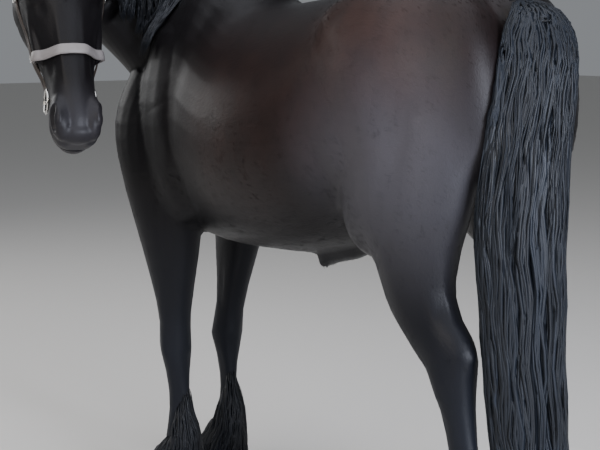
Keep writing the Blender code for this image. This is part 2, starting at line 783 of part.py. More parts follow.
def lock(stops, outwards, wide, thick):
    """Flat lock of hair with a ridge, through stops, each with the way that the ridge faces."""
    rings = []
    last = len(stops) - 1
    for i, here in enumerate(stops):
        share = i / last * (len(LOCK_WIDTH) - 1)
        low = min(int(share), len(LOCK_WIDTH) - 2)
        part = share - low
        half = wide / 2 * (LOCK_WIDTH[low] * (1 - part) + LOCK_WIDTH[low + 1] * part)
        deep = thick / 2 * (LOCK_DEPTH[low] * (1 - part) + LOCK_DEPTH[low + 1] * part)
        run = (stops[min(i + 1, last)] - stops[max(i - 1, 0)]).normalized()
        across = run.cross(outwards[i]).normalized()
        out = across.cross(run).normalized()
        rings.append([here + across * half, here + out * deep * 2, here - across * half])
    return tube_of("lock", rings, "hair")


def is_clear(obj, trees):
    """True where a lock neither crosses other pieces nor comes near the floor."""
    if min(v.co.z for v in obj.data.vertices) < FLOOR_ROOM:
        return False
    tree = surface_of(obj)
    return not any(tree.overlap(other) for other in trees)


def first_clear(make, tries, trees):
    """The first of a few tries at a lock that clears all other pieces, or none."""
    for setting in tries:
        made = make(setting)
        if is_clear(made, trees):
            return [made]
        bpy.data.objects.remove(made, do_unlink=True)
    return []


def tail_at(rows, share):
    """Row of the tail at a share of its length."""
    place = min(max(share, 0.0), 1.0) * (len(rows) - 1)
    low = min(int(place), len(rows) - 2)
    part = place - low
    return [a + (b - a) * part for a, b in zip(rows[low], rows[low + 1])]


def tail_core():
    """Solid middle of the tail, in its upper half only and inside its locks."""
    rows = between(TAIL_PATH, 2)
    kept = int(len(rows) * TAIL_CORE)
    deep = TAIL_WIDE.cross(Vector((0, 0, 1)))
    rings = []
    for i, (x, y, z, wide, thick) in enumerate(rows[:kept]):
        scale = 1.0 - 0.75 * max(0.0, i / kept - 0.70) / 0.30
        half = (wide - TAIL_CORE_DEPTH) * scale
        back = max(thick - TAIL_CORE_DEPTH, 0.012) * scale
        rings.append(oval(Vector((x, y, z)), TAIL_WIDE, deep, half, back, back, 12))
    return tube_of("tail_core", rings, "hair")


def tail_lock(tree, rows, start, end, angle, inset, wide, sway):
    """One lock of the tail, from inside its core out to its skin and on to its tip."""
    deep = TAIL_WIDE.cross(Vector((0, 0, 1)))
    stops = []
    outwards = []
    for k in range(6):
        part = k / 5
        x, y, z, half, thick = tail_at(rows, start + (end - start) * part)
        turn = angle + sway * math.sin(math.pi * 2.2 * part)
        under = inset + (0.032, 0.004, 0.0, 0.0, 0.0, 0.002)[k]
        c = math.cos(turn)
        s = math.sin(turn)
        aside = max(half - under, 0.012)
        back = max(thick - under, 0.004)
        place = Vector((x, y, z)) + TAIL_WIDE * (c * aside) + deep * (s * back)
        way = (TAIL_WIDE * (c / half) + deep * (s / thick)).normalized()
        hit, _, _, _ = tree.ray_cast(place + deep * 0.5, -deep)
        if k > 0 and hit and (hit - place).dot(deep) > -TAIL_ROOM:
            place = hit + deep * TAIL_ROOM
            way = (way + deep).normalized()
        stops.append(place)
        outwards.append(way)
    return lock(stops, outwards, wide, TAIL_LOCK_THICK)


def tail_locks(tree, trees):
    draw = random.Random(5)
    rows = between(TAIL_PATH, 6)
    made = []
    for tier, (count, start, end, inset, wide) in enumerate(TAIL_TIERS):
        for i in range(count):
            angle = math.tau * (i + 0.5 * tier + 0.12 * draw.random()) / count
            first = start + 0.05 * draw.random()
            tip = end - 0.11 * draw.random()
            width = wide * (0.88 + 0.16 * draw.random())
            sway = 0.10 * (draw.random() - 0.5)

            def build(deeper):
                return tail_lock(tree, rows, first, tip, angle, inset + deeper, width, sway)

            made += first_clear(build, (0.0, 0.006, 0.012, 0.020), trees)
    return made


MANE_FROM = 0.13        # share of the neck where the mane starts, near the withers
MANE_TO = 0.85
MANE_LOCKS = 15
MANE_LAYERS = 3
MANE_DROPS = (0.12, 0.28, 0.50, 0.75, 1.0)      # stops of a lock, as shares of its drop


def neck_frame(share):
    """Middle of the neck, its left, its run and the way up to its crest."""
    here = neck_point(share)
    run = (neck_point(share + 0.02) - neck_point(share - 0.02)).normalized()
    across = Vector((-run.y, run.x, 0)).normalized()
    up = run.cross(across).normalized()
    if up.z < 0:
        up.negate()
    return here, across, run, up


def mane_lock(tree, share, length, lift, wide, lean):
    """One lock that starts in the crest, goes over the left side and hangs down."""
    here, left, run, up = neck_frame(share)
    level = Vector((run.x, run.y, 0)).normalized()
    crest = here + up * neck_section(share)[1]
    hit, _, _, _ = tree.ray_cast(crest + Vector((0, 0, 0.3)), Vector((0, 0, -1)))
    top = hit or crest
    stops = [top - left * 0.034 - Vector((0, 0, 0.026)), top + Vector((0, 0, 0.001)),
             top + left * 0.040 - Vector((0, 0, 0.010))]
    outwards = [up, up, (up + left * 0.8).normalized()]
    reach = (stops[2] - here).dot(left)
    for share_down in MANE_DROPS:
        drop = length * share_down
        place = Vector((here.x, here.y, top.z - drop)) + level * (lean * drop)
        hit, _, _, _ = tree.ray_cast(place + left * 0.45, -left)
        found = (hit - here).dot(left) + lift if hit else 0.0
        reach = max(found, reach - 0.020)
        stops.append(place + left * reach)
        outwards.append((left + up * max(0.0, 0.8 - 2.0 * share_down)).normalized())
    return lock(stops, outwards, wide, 0.0105)


def mane_locks(tree, trees):
    draw = random.Random(11)
    made = []
    for i in range(MANE_LOCKS):
        share = MANE_FROM + (MANE_TO - MANE_FROM) * (i + 0.5 * draw.random()) / (MANE_LOCKS - 0.5)
        middle = math.sin(math.pi * (i + 1) / (MANE_LOCKS + 1))
        length = (0.26 + 0.20 * middle) * (0.86 + 0.28 * draw.random())
        wide = 0.060 + 0.010 * draw.random()
        lift = 0.003 + 0.013 * (i % MANE_LAYERS)
        lean = 0.10 * (draw.random() - 0.5)

        def build(setting):
            shorter, higher = setting
            return mane_lock(tree, share, length * shorter, lift + higher, wide, lean)

        tries = ((1, 0), (1, 0.006), (0.85, 0.004), (0.70, 0.004), (0.55, 0.004), (0.42, 0.004))
        made += first_clear(build, tries, trees)
    return made


def forelock_locks(tree, trees):
    """Locks from between the ears down the forehead."""
    draw = random.Random(7)
    made = []
    for i in range(6):
        side = (i - 2.5) / 2.5
        length = 0.215 - 0.05 * abs(side) + 0.03 * draw.random()
        wide = 0.030 + 0.008 * draw.random()
        lift = 0.014 + 0.004 * (i % 2)

        def build(setting):
            stops = []
            outwards = []
            for k in range(6):
                part = k / 5
                left = side * (0.012 + 0.034 * part)
                down = -0.012 + length * part * setting
                place = onto(tree, head_at(left, -0.02, down), FACE_OUT, 0)
                raised = (-0.012, lift + 0.002, lift, lift, lift * 0.9, lift * 0.8)[k]
                stops.append(place + FACE_OUT * raised)
                outwards.append((FACE_OUT + HEAD_LEFT * (side * 0.3)).normalized())
            return lock(stops, outwards, wide, 0.009)

        made += first_clear(build, (1.0, 0.85, 0.7), trees)
    return made


# Envelope of the feathers: height, half width, depth to the front and to the back
FEATHER = [(0.400, 0.032, 0.034, 0.042), (0.330, 0.035, 0.038, 0.047), (0.250, 0.042, 0.042, 0.062),
           (0.180, 0.056, 0.050, 0.086), (0.110, 0.070, 0.066, 0.102), (0.020, 0.084, 0.084, 0.110)]
# How many locks, spread to each side of the back in degrees, start and tip heights, width
FEATHER_TIERS = [(4, 72, 0.350, 0.110, 0.036), (9, 160, 0.220, 0.020, 0.046)]


def feather_lock(stations, yaw, side, angle, start, tip, wide, inset):
    """One lock that leaves the back of the cannon, or the fetlock, and falls over the hoof."""
    across = Vector((math.cos(yaw), math.sin(yaw) * side, 0))
    ahead = Vector((math.sin(yaw) * side, -math.cos(yaw), 0))
    stops = []
    outwards = []
    for k in range(5):
        part = k / 4
        z = start + (tip - start) * part
        x, y, _, inner_half, inner_fore, inner_aft = crossing(stations, max(z, 0.080))
        half, fore, aft = crossing_of(FEATHER, z)[1:]
        blend = (0.0, 0.75, 0.95, 1.0, 1.0)[k]
        c = math.cos(angle)
        s = math.sin(angle)
        deep = inner_fore if c < 0 else inner_aft
        outer_deep = fore if c < 0 else aft
        reach_across = inner_half * 0.72 * (1 - blend) + (half - inset) * blend
        reach_back = deep * 0.72 * (1 - blend) + (outer_deep - inset) * blend
        stops.append(Vector((x, y, z)) + across * (s * reach_across) - ahead * (c * reach_back))
        outwards.append((across * (s / half) - ahead * (c / outer_deep)).normalized())
    return lock(stops, outwards, wide, 0.008)


def crossing_of(rows, z):
    """Row of a list that falls in height, at a height."""
    for upper, lower in zip(rows, rows[1:]):
        if upper[0] >= z >= lower[0]:
            t = (upper[0] - z) / (upper[0] - lower[0])
            return [a + (b - a) * t for a, b in zip(upper, lower)]
    return list(rows[-1])


def feather_locks(stations, yaw, side, seed, trees):
    draw = random.Random(seed)
    made = []
    for count, spread, start, tip, wide in FEATHER_TIERS:
        for i in range(count):
            share = (i + 0.5) / count * 2 - 1
            angle = math.radians(spread * share + 8 * (draw.random() - 0.5))
            ahead = max(0.0, -math.cos(angle))
            first = start - 0.045 * draw.random() - 0.05 * ahead
            last = tip + 0.030 * draw.random() + 0.030 * ahead
            width = wide * (0.9 + 0.2 * draw.random())
            inset = 0.009 * ((i + 1) % 2)

            def build(setting):
                return feather_lock(stations, yaw, side, angle, first, last + setting, width, inset)

            made += first_clear(build, (0.0, 0.012, 0.024, 0.036, 0.050), trees)
    return made


def unite(obj, extra):
    """Fuses closed forms onto a node in one union."""
    group = bpy.data.collections.new("forms")
    bpy.context.scene.collection.children.link(group)
    for item in extra:
        for holder in list(item.users_collection):
            holder.objects.unlink(item)
        group.objects.link(item)
    apply_modifier(obj, "BOOLEAN", operation="UNION", operand_type="COLLECTION", collection=group,
                   solver="MANIFOLD")
    for item in list(group.objects):
        bpy.data.objects.remove(item, do_unlink=True)
    bpy.data.collections.remove(group)
    keep_largest(obj)


def surface_of(obj, grow=0.0):
    """Search tree of a mesh, or of one grown a little outwards."""
    verts = [v.co + v.normal * grow for v in obj.data.vertices]
    faces = [tuple(f.vertices) for f in obj.data.polygons]
    return BVHTree.FromPolygons(verts, faces)


def onto(tree, point, outwards, lift):
    """The place where a line towards the inside first meets the surface, raised by a lift."""
    start = point + outwards * 0.40
    hit, _, _, _ = tree.ray_cast(start, -outwards)
    return (hit or point) + outwards * lift


NOSEBAND_AT = 0.404
STRAP_LIFT = 0.0035     # room between a strap and the skin
STRAP_THICK = 0.0045
STRAP_REACH = 0.25       # how far from its middle a strap looks for the skin under it
BAND_THICK = 0.0100
BAND_LIFT = 0.0070      # room between the padded band's corners and the skin


def band(name, tree, down, tilt, wide, thick, kind, low=-0.115, bow=0.0):
    """Closed band round the head: tilted, wide along the face, thick outwards and bowed up in front."""
    rings = []
    steps = 32
    for i in range(steps):
        angle = math.tau * i / steps
        outwards = (HEAD_LEFT * math.cos(angle) + FACE_OUT * math.sin(angle)).normalized()
        drop = down - tilt * math.sin(angle) - bow * max(math.sin(angle), 0) ** 2
        ring = []
        for edge, lift in ((-0.5, 0), (0.5, 0), (0.42, thick), (-0.42, thick)):
            middle = head_at(0, low * 0.5, drop + wide * edge)
            ring.append(onto(tree, middle, outwards, BAND_LIFT + lift))
        rings.append(ring)
    verts = [p for ring in rings for p in ring]
    faces = []
    for i in range(steps):
        for k in range(4):
            a = i * 4 + k
            b = i * 4 + (k + 1) % 4
            c = ((i + 1) % steps) * 4 + (k + 1) % 4
            d = ((i + 1) % steps) * 4 + k
            faces.append((a, b, c, d))
    obj = new_object(name, verts, faces, kind)
    face_outwards(obj)
    return obj


def strap(name, tree, stops, wide, steps=6, thick=STRAP_THICK, fixed=None, under=None):
    """Flat strap over stops on the head: left, out, down and extra lift.

    It goes round the head's axis or a fixed place, and also clears the surface under it if one is given.
    """
    rings = []
    rows = between(stops, steps)
    centre = head_at(0, -0.090, 0)
    for i, row in enumerate(rows):
        here = head_at(*row[:3])
        run = head_at(*rows[min(i + 1, len(rows) - 1)][:3]) - head_at(*rows[max(i - 1, 0)][:3])
        core = head_at(*fixed) if fixed else centre + FACE_DOWN * row[2]
        outwards = (here - core).normalized()
        across = run.cross(outwards).normalized()
        outwards = across.cross(run).normalized()
        if outwards.dot(here - core) < 0:
            outwards.negate()
        feet = []
        for edge in (-0.5, 0, 0.5):
            start = here + across * wide * edge
            feet.append(onto(tree, start - outwards * 0.03, outwards, 0))
            start -= outwards * (start - core).dot(outwards)
            hit = under.ray_cast(start, outwards, STRAP_REACH)[0] if under else None
            feet.append(hit or start)
        high = max((p - core).dot(outwards) for p in feet) + STRAP_LIFT + row[3]
        ring = []
        for edge, lift in ((-0.5, 0), (0.5, 0), (0.5, thick), (-0.5, thick)):
            base = here + across * wide * edge
            base += outwards * (high + lift - (base - core).dot(outwards))
            ring.append(base)
        rings.append(ring)
    return tube_of(name, rings, "strap")


HEADPIECE = (0.0, -0.048, 0.050)    # middle of the arch that the headpiece makes behind the ears
HEADPIECE_WIDE = 0.018
HEADPIECE_LIFT = 0.004
HEADPIECE_REACH = 0.12      # radius of the arch before it is laid on the skin
HEADPIECE_FROM = -8         # degrees, from the left cheek over the poll to the right cheek
HEADPIECE_TO = 188
HEADPIECE_STOPS = 11
BROWBAND_WIDE = 0.016
# Side, left, out, down and extra lift of the browband's stops
BROWBAND = [(1, 0.104, -0.036, 0.086, 0.0), (1, 0.082, 0.020, 0.088, 0.0), (1, 0.040, 0.054, 0.092, 0.0),
            (1, 0.000, 0.062, 0.094, 0.0), (-1, 0.040, 0.054, 0.092, 0.0), (-1, 0.082, 0.020, 0.088, 0.0),
            (-1, 0.104, -0.036, 0.086, 0.0)]
RING_STEPS = 16
RING_SIDES = 6


def bit_ring(side):
    """Loose steel ring beside the corner of the mouth."""
    centre = head_at(side * 0.077, -0.066, 0.540)
    rings = []
    for i in range(RING_STEPS):
        angle = math.tau * i / RING_STEPS
        around = FACE_OUT * math.sin(angle) + FACE_DOWN * math.cos(angle)
        rings.append(oval(centre + around * 0.032, around, HEAD_LEFT, 0.0035, 0.0035, 0.0035, RING_SIDES))
    verts = [p for ring in rings for p in ring]
    faces = []
    for i in range(RING_STEPS):
        for k in range(RING_SIDES):
            a = i * RING_SIDES + k
            b = i * RING_SIDES + (k + 1) % RING_SIDES
            step = ((i + 1) % RING_STEPS - i) * RING_SIDES
            faces.append((a, b, b + step, a + step))
    obj = new_object(f"bit_ring_{'left' if side > 0 else 'right'}", verts, faces, "steel")
    face_outwards(obj)
    return obj


def bridle(tree, skin):
    band("noseband", tree, NOSEBAND_AT, -0.026, 0.032, BAND_THICK, "band", low=-0.14)
    for side in (1, -1):
        name = "left" if side > 0 else "right"
        strap(f"cheekpiece_{name}", tree, [
            (side * 0.104, -0.056, 0.092, 0.0),
            (side * 0.116, -0.060, 0.180, 0.0),
            (side * 0.112, -0.066, 0.280, 0.0),
            (side * 0.100, -0.068, 0.335, 0.003),
            (side * 0.090, -0.069, 0.375, BAND_THICK + 0.0055),
            (side * 0.083, -0.069, 0.430, BAND_THICK + 0.0055),
            (side * 0.077, -0.067, 0.470, 0.004),
            (side * 0.073, -0.066, 0.495, 0.003),
        ], 0.016, steps=4)
        bit_ring(side)
    arch = []
    for k in range(HEADPIECE_STOPS):
        turn = (HEADPIECE_TO - HEADPIECE_FROM) * k / (HEADPIECE_STOPS - 1)
        angle = math.radians(HEADPIECE_FROM + turn)
        left = HEADPIECE_REACH * math.cos(angle)
        down = HEADPIECE[2] - HEADPIECE_REACH * math.sin(angle)
        arch.append((left, HEADPIECE[1], down, HEADPIECE_LIFT))
    strap("headpiece", tree, arch, HEADPIECE_WIDE, steps=3, fixed=HEADPIECE, under=skin)
    brow = [(side * left, out, down, lift) for side, left, out, down, lift in BROWBAND]
    strap("browband", tree, brow, BROWBAND_WIDE, steps=3)


def main():
    clear_scene()
    body = body_flesh()
    skin = surface_of(body)
    spare_neck = head_flesh()
    head_piece = part_off(spare_neck, "head", *THROAT_CUT)
    bpy.data.objects.remove(spare_neck, do_unlink=True)
    spare = part_off(body, "spare", *THROAT_CUT)
    bpy.data.objects.remove(spare, do_unlink=True)
    for side in (1, -1):
        foot, axis, _ = ear_frame(side)
        boolean(head_piece, wedge(foot, axis, FACE_OUT, (0.045, 0.045), (0.06, 0.06), 0.1), "DIFFERENCE")
        ear(side)
        eye(side, head_piece)
    face = surface_of(head_piece)
    bridle(face, skin)
    neck_piece = part_off(body, "neck", *NECK_CUT)
    tail = part_off(body, "tail", *DOCK_CUT)
    unite(tail, [tail_core()])
    legs(body)

    def others(*own):
        return [surface_of(obj, CLEAR) for obj in bpy.data.objects if obj.name not in own]

    for name, (stations, yaw, side) in LEGS.items():
        lower = f"{name[:4]}leg_lower_{name[5:]}"
        locks = feather_locks(stations, yaw, side, len(name) + 3 * side, others(lower))
        unite(bpy.data.objects[lower], locks)
    unite(head_piece, forelock_locks(face, others("head")))
    unite(neck_piece, mane_locks(skin, others("neck")))
    unite(tail, tail_locks(skin, others("tail")))
    for obj in bpy.data.objects:
        obj.data.transform(Matrix.Translation(-FLOOR_CENTRE))
        print(obj.name, len(obj.data.polygons))


main()
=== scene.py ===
# %% [markdown]
# # A black Friesian horse, standing
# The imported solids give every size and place. This lesson dresses them: one skin over the whole
# body, long hair in locks, a short coat, eyes, hooves and the bridle. Everything is in metres,
# the horse faces -Y and its left side is +X.

# %% The fixed frame
import json
import math

import bmesh
import bpy
import numpy as np
from mathutils import Matrix, Vector
from mathutils.bvhtree import BVHTree

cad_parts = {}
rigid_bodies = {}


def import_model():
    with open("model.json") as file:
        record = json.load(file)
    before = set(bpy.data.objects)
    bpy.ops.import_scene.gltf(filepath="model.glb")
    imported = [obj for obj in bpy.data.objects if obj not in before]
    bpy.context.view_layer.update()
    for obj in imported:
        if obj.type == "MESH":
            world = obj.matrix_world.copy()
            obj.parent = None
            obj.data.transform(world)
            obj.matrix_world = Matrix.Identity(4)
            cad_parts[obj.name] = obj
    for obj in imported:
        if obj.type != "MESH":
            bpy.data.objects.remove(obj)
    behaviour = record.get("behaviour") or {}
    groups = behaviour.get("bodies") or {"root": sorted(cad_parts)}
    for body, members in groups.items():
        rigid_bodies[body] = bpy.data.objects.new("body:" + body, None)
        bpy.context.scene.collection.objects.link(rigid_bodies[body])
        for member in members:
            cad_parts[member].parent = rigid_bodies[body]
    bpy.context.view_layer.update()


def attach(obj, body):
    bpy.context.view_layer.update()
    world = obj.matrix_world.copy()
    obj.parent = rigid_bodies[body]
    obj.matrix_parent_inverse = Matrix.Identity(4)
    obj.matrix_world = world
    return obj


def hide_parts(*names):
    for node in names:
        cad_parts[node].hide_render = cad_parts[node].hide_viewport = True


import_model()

# %% [markdown]
# ## The camera
# The photograph was taken from behind and to the left, at head height, with a long lens. The
# camera stands there and looks slightly down, so that the frame cuts off the ears, the croup's
# right side and the feet as the photograph does.

# %% Camera
MIDDLE = Vector((0.1561, 0.0906, 0.0))       # middle of the model, measured from the point under the withers
CAMERA_PLACE = Vector((2.786, 3.379, 1.412)) - MIDDLE
CAMERA_TURN = math.radians(38.84)
CAMERA_DIP = math.radians(7.18)
LENS = 96.88            # millimetres
SENSOR = 36.0           # millimetres wide


def add_camera():
    """Puts the photograph's camera in the scene."""
    camera = bpy.data.cameras.new("camera")
    camera.lens = LENS
    camera.sensor_width = SENSOR
    holder = bpy.data.objects.new("camera", camera)
    bpy.context.scene.collection.objects.link(holder)
    look = Vector((-math.sin(CAMERA_TURN) * math.cos(CAMERA_DIP),
                   -math.cos(CAMERA_TURN) * math.cos(CAMERA_DIP), -math.sin(CAMERA_DIP)))
    right = look.cross(Vector((0, 0, 1))).normalized()
    up = right.cross(look)
    holder.matrix_world = Matrix.Translation(CAMERA_PLACE) @ Matrix((right, up, -look)).transposed().to_4x4()
    bpy.context.scene.camera = holder


add_camera()
print("camera at", [round(c, 3) for c in CAMERA_PLACE])

# %% [markdown]
# ## Materials
# A horse's coat is hair a few millimetres long, laid flat: dark, with a soft sheen where it turns
# away from the light. Each material below names the real thing, how its surface came about and
# what that gives the eye. One function adds a node, its settings and its links.

# %% Colours and nodes
def linear(hex_colour):
    """Linear red, green, blue and alpha of an sRGB colour."""
    parts = [int(hex_colour[i:i + 2], 16) / 255 for i in (1, 3, 5)]
    return tuple(c / 12.92 if c <= 0.04045 else ((c + 0.055) / 1.055) ** 2.4 for c in parts) + (1.0,)


def add_node(tree, kind, output, settings=None, inputs=None, stops=None):
    """A node with its settings, its inputs as values or links, and a ramp's stops. Gives back one output."""
    node = tree.nodes.new("ShaderNode" + kind)
    for key, value in (settings or {}).items():
        setattr(node, key, value)
    for number, (place, colour) in enumerate(stops or []):
        points = node.color_ramp.elements
        point = points[number] if number < 2 else points.new(place)
        point.position, point.color = place, colour
    for key, value in (inputs or {}).items():
        if isinstance(value, bpy.types.NodeSocket):
            tree.links.new(value, node.inputs[key])
        else:
            node.inputs[key].default_value = value
    return node.outputs[output]


NONE = (0.0, 0.0, 0.0, 1.0)      # ramp colours that switch something off and on
FULL = (1.0, 1.0, 1.0, 1.0)
COLOURS = {"data_type": "RGBA"}         # settings of a mix of colours
TIMES = {"operation": "MULTIPLY"}       # and of a product
print("middle grey #808080 is", round(linear("#808080")[0], 3), "in linear light")


def new_material(name, **shader_values):
    """A material with one shader, whose constant values sit on its own sockets."""
    made = bpy.data.materials.new(name)
    made.use_nodes = True
    shader = made.node_tree.nodes["Principled BSDF"]
    for key, value in shader_values.items():
        shader.inputs[key.replace("_", " ")].default_value = value
    return made, made.node_tree, shader


# %% [markdown]
# ### Coat and skin
# The summer coat of a black horse: hair 5 to 10 mm long, groomed flat. It is warm black, bleached
# to a dark brown over the haunch and flank by the sun, and a grey sheen is painted into its colour
# over the thigh, where light catches the laid hair. The muzzle is nearly bare grey skin. Skin and
# tufts share the one colour recipe, so they carry the same markings and the same painted sheen.

# %% Coat colours
COAT_BLACK = linear("#0D0B0D")
COAT_DEEP = linear("#060506")
COAT_BROWN = linear("#35221C")
# Grey of the sheen that is painted into the coat's colour over the thigh
COAT_PAINTED_SHEEN = linear("#4C4B51")
COAT_SLATE = linear("#171A21")      # bluer black of the lower legs
MUZZLE_SKIN = linear("#2E2D31")
HAUNCH = Vector((0.250, 0.500, 1.330)) - MIDDLE      # middle of the bleached brown patch
FLANK = Vector((0.300, 0.020, 1.180)) - MIDDLE
# The grey sheen is painted into the coat's colour round this place.
THIGH_SHEEN_PLACE = Vector((0.240, 0.560, 1.080)) - MIDDLE       # where the light makes the coat look grey
BLEACHED = [(HAUNCH, 0.42, 1.36), (FLANK, 0.45, 0.70)]      # place, reach and amount of brown
print("the coat's black reflects", round(COAT_BLACK[0] * 100, 2), "percent of red light")


def near(tree, coords, place, reach):
    """1 at a place and 0 from a distance on, on the horse's own coordinates."""
    apart = add_node(tree, "VectorMath", "Value", {"operation": "DISTANCE"}, {0: coords, 1: tuple(place)})
    return add_node(tree, "MapRange", "Result", {"interpolation_type": "SMOOTHSTEP"},
                    {"Value": apart, "From Min": reach, "From Max": 0.0})


def coat_colour(tree, coords):
    """Black with the haunch and flank bleached brown, and a grey sheen painted on the thigh."""
    clouds = add_node(tree, "TexNoise", "Fac", None,
                      {"Vector": coords, "Scale": 7.0, "Detail": 4.0, "Roughness": 0.6})
    colour = add_node(tree, "Mix", "Result", COLOURS, {"Factor": clouds, "A": COAT_DEEP, "B": COAT_BLACK})
    for place, reach, amount in BLEACHED:
        patchy = add_node(tree, "Math", "Value", TIMES, {0: near(tree, coords, place, reach), 1: clouds})
        share = add_node(tree, "Math", "Value", TIMES, {0: patchy, 1: amount})
        colour = add_node(tree, "Mix", "Result", COLOURS, {"Factor": share, "A": colour, "B": COAT_BROWN})
    height = add_node(tree, "SeparateXYZ", "Z", None, {"Vector": coords})
    low = add_node(tree, "MapRange", "Result", None,
                   {"Value": height, "From Min": 0.95, "From Max": 0.45, "To Max": 0.8})
    colour = add_node(tree, "Mix", "Result", COLOURS, {"Factor": low, "A": colour, "B": COAT_SLATE})
    # Painted sheen: the colour turns grey round the thigh, where light catches the laid hair.
    painted_sheen = add_node(tree, "Math", "Value", TIMES, {0: near(tree, coords, THIGH_SHEEN_PLACE, 0.40), 1: 0.75})
    return add_node(tree, "Mix", "Result", COLOURS, {"Factor": painted_sheen, "A": colour, "B": COAT_PAINTED_SHEEN})


def laid_hair(tree, coords):
    """Height of hair laid down and back: streaks about 2 mm wide, drawn coarse so that they show."""
    turned = add_node(tree, "Mapping", "Vector", None,
                      {"Vector": coords, "Rotation": (0.45, 0.0, 0.0), "Scale": (1.0, 0.16, 0.45)})
    return add_node(tree, "TexNoise", "Fac", None,
                    {"Vector": turned, "Scale": 260.0, "Detail": 3.0, "Roughness": 0.65})


def coat_material(name, is_skin):
    """Flat groomed hair over the body. The skin's own finish also has the bare grey muzzle."""
    made, tree, shader = new_material(name, Roughness=0.44, Metallic=0.0, Sheen_Weight=0.015,
                                      Sheen_Roughness=0.40, Specular_IOR_Level=0.15)
    coords = add_node(tree, "TexCoord", "Object")
    colour = coat_colour(tree, coords)
    height = laid_hair(tree, coords)
    if is_skin:
        muzzle = near(tree, coords, MUZZLE_PLACE, 0.16)
        pores = add_node(tree, "TexNoise", "Fac", None, {"Vector": coords, "Scale": 90.0, "Detail": 3.0})
        bare = add_node(tree, "Math", "Value", TIMES, {0: muzzle, 1: 0.75})
        colour = add_node(tree, "Mix", "Result", COLOURS, {"Factor": bare, "A": colour, "B": MUZZLE_SKIN})
        height = add_node(tree, "Mix", "Result", None, {"Factor": muzzle, "A": height, "B": pores})
    tree.links.new(colour, shader.inputs["Base Color"])
    relief = add_node(tree, "Bump", "Normal", None,
                      {"Height": height, "Strength": 0.35, "Distance": 0.0015})
    tree.links.new(relief, shader.inputs["Normal"])
    return made


# %% [markdown]
# ### Long hair
# Mane, tail and feathers are coarse hair in wavy locks, blue-black, with grey highlights painted
# along each strand. The streaks run along the lock's own UV map, and each lock carries its own tone.

# %% Long hair
HAIR_BLACK = linear("#060709")
# Grey of the highlights painted in streaks along the strands
HAIR_PAINTED_HIGHLIGHT = linear("#1A1E26")
TAIL_PAINTED_HIGHLIGHT = linear("#252C37")


def hair_material(name, light):
    """Long hair with highlights painted in streaks of the given colour."""
    made, tree, shader = new_material(name, Roughness=0.42, Metallic=0.0, Specular_IOR_Level=0.26)
    strand = add_node(tree, "UVMap", "UV", {"uv_map": "strand"})
    drawn = add_node(tree, "Mapping", "Vector", None, {"Vector": strand, "Scale": (600.0, 6.0, 1.0)})
    streaks = add_node(tree, "TexNoise", "Fac", None,
                       {"Vector": drawn, "Scale": 1.0, "Detail": 3.0, "Roughness": 0.7})
    tone = add_node(tree, "Attribute", "Fac", {"attribute_name": "tone"})
    # Painted highlight: lit streaks, brighter on locks of higher tone
    lit = add_node(tree, "Math", "Value", TIMES, {0: streaks, 1: tone})
    colour = add_node(tree, "Mix", "Result", COLOURS, {"Factor": lit, "A": HAIR_BLACK, "B": light})
    tree.links.new(colour, shader.inputs["Base Color"])
    relief = add_node(tree, "Bump", "Normal", None,
                      {"Height": streaks, "Strength": 0.5, "Distance": 0.0010})
    tree.links.new(relief, shader.inputs["Normal"])
    return made


# %% [markdown]
# ## Forms of the body
# A body has no flat faces and no repeated parts, so it isn't built from a primitive. It is lofted:
# rings of points are set along the trunk, neck, head and legs from a few measured stations, and a
# smooth curve fills in the rings between them. The same stations made the solids.

# %% Lofting tools
def at(x, y, z):
    """A place measured from the point under the withers, in the model's own frame."""
    return Vector((x, y, z)) - MIDDLE


def new_object(name, verts, faces):
    """A mesh object in the scene, from its points and faces."""
    mesh = bpy.data.meshes.new(name)
    mesh.from_pydata([tuple(v) for v in verts], [], faces)
    mesh.update()
    obj = bpy.data.objects.new(name, mesh)
    bpy.context.scene.collection.objects.link(obj)
    return obj


def face_outwards(obj):
    """Turns all faces of a closed mesh outwards."""
    work = bmesh.new()
    work.from_mesh(obj.data)
    bmesh.ops.recalc_face_normals(work, faces=work.faces)
    if work.calc_volume(signed=True) < 0:
        bmesh.ops.reverse_faces(work, faces=work.faces)
    work.to_mesh(obj.data)
    work.free()


def between(rows, steps):
    """Rows of numbers, filled in by a smooth curve that passes through each of them."""
    filled = []
    last = len(rows) - 1
    for i in range(last):
        before = rows[max(i - 1, 0)]
        after = rows[min(i + 2, last)]
        for k in range(steps):
            t = k / steps
            row = []
            for p0, p1, p2, p3 in zip(before, rows[i], rows[i + 1], after):
                bend = 2 * p0 - 5 * p1 + 4 * p2 - p3
                turn = -p0 + 3 * p1 - 3 * p2 + p3
                row.append(0.5 * (2 * p1 + (p2 - p0) * t + bend * t * t + turn * t ** 3))
            filled.append(row)
    filled.append(list(rows[-1]))
    return filled


def circle(count):
    """Cosine and sine of evenly spaced angles, once round."""
    return [(math.cos(math.tau * k / count), math.sin(math.tau * k / count)) for k in range(count)]


def bulge(value, power):
    """A value raised to a power with its sign kept, which makes an oval squarer or slimmer."""
    return math.copysign(abs(value) ** power, value)


def tube_of(name, rings):
    """Closed skin over rings of points, with a point at the middle of each end."""
    sides = len(rings[0])
    verts = [p for ring in rings for p in ring]
    faces = []
    for i in range(len(rings) - 1):
        for k in range(sides):
            a = i * sides + k
            b = i * sides + (k + 1) % sides
            faces.append((a, b, b + sides, a + sides))
    for start, flip in ((0, False), ((len(rings) - 1) * sides, True)):
        middle = sum((Vector(verts[start + k]) for k in range(sides)), Vector()) / sides
        verts.append(middle)
        for k in range(sides):
            edge = (start + (k + 1) % sides, start + k)
            faces.append((len(verts) - 1, *(edge[::-1] if flip else edge)))
    obj = new_object(name, verts, faces)
    face_outwards(obj)
    return obj


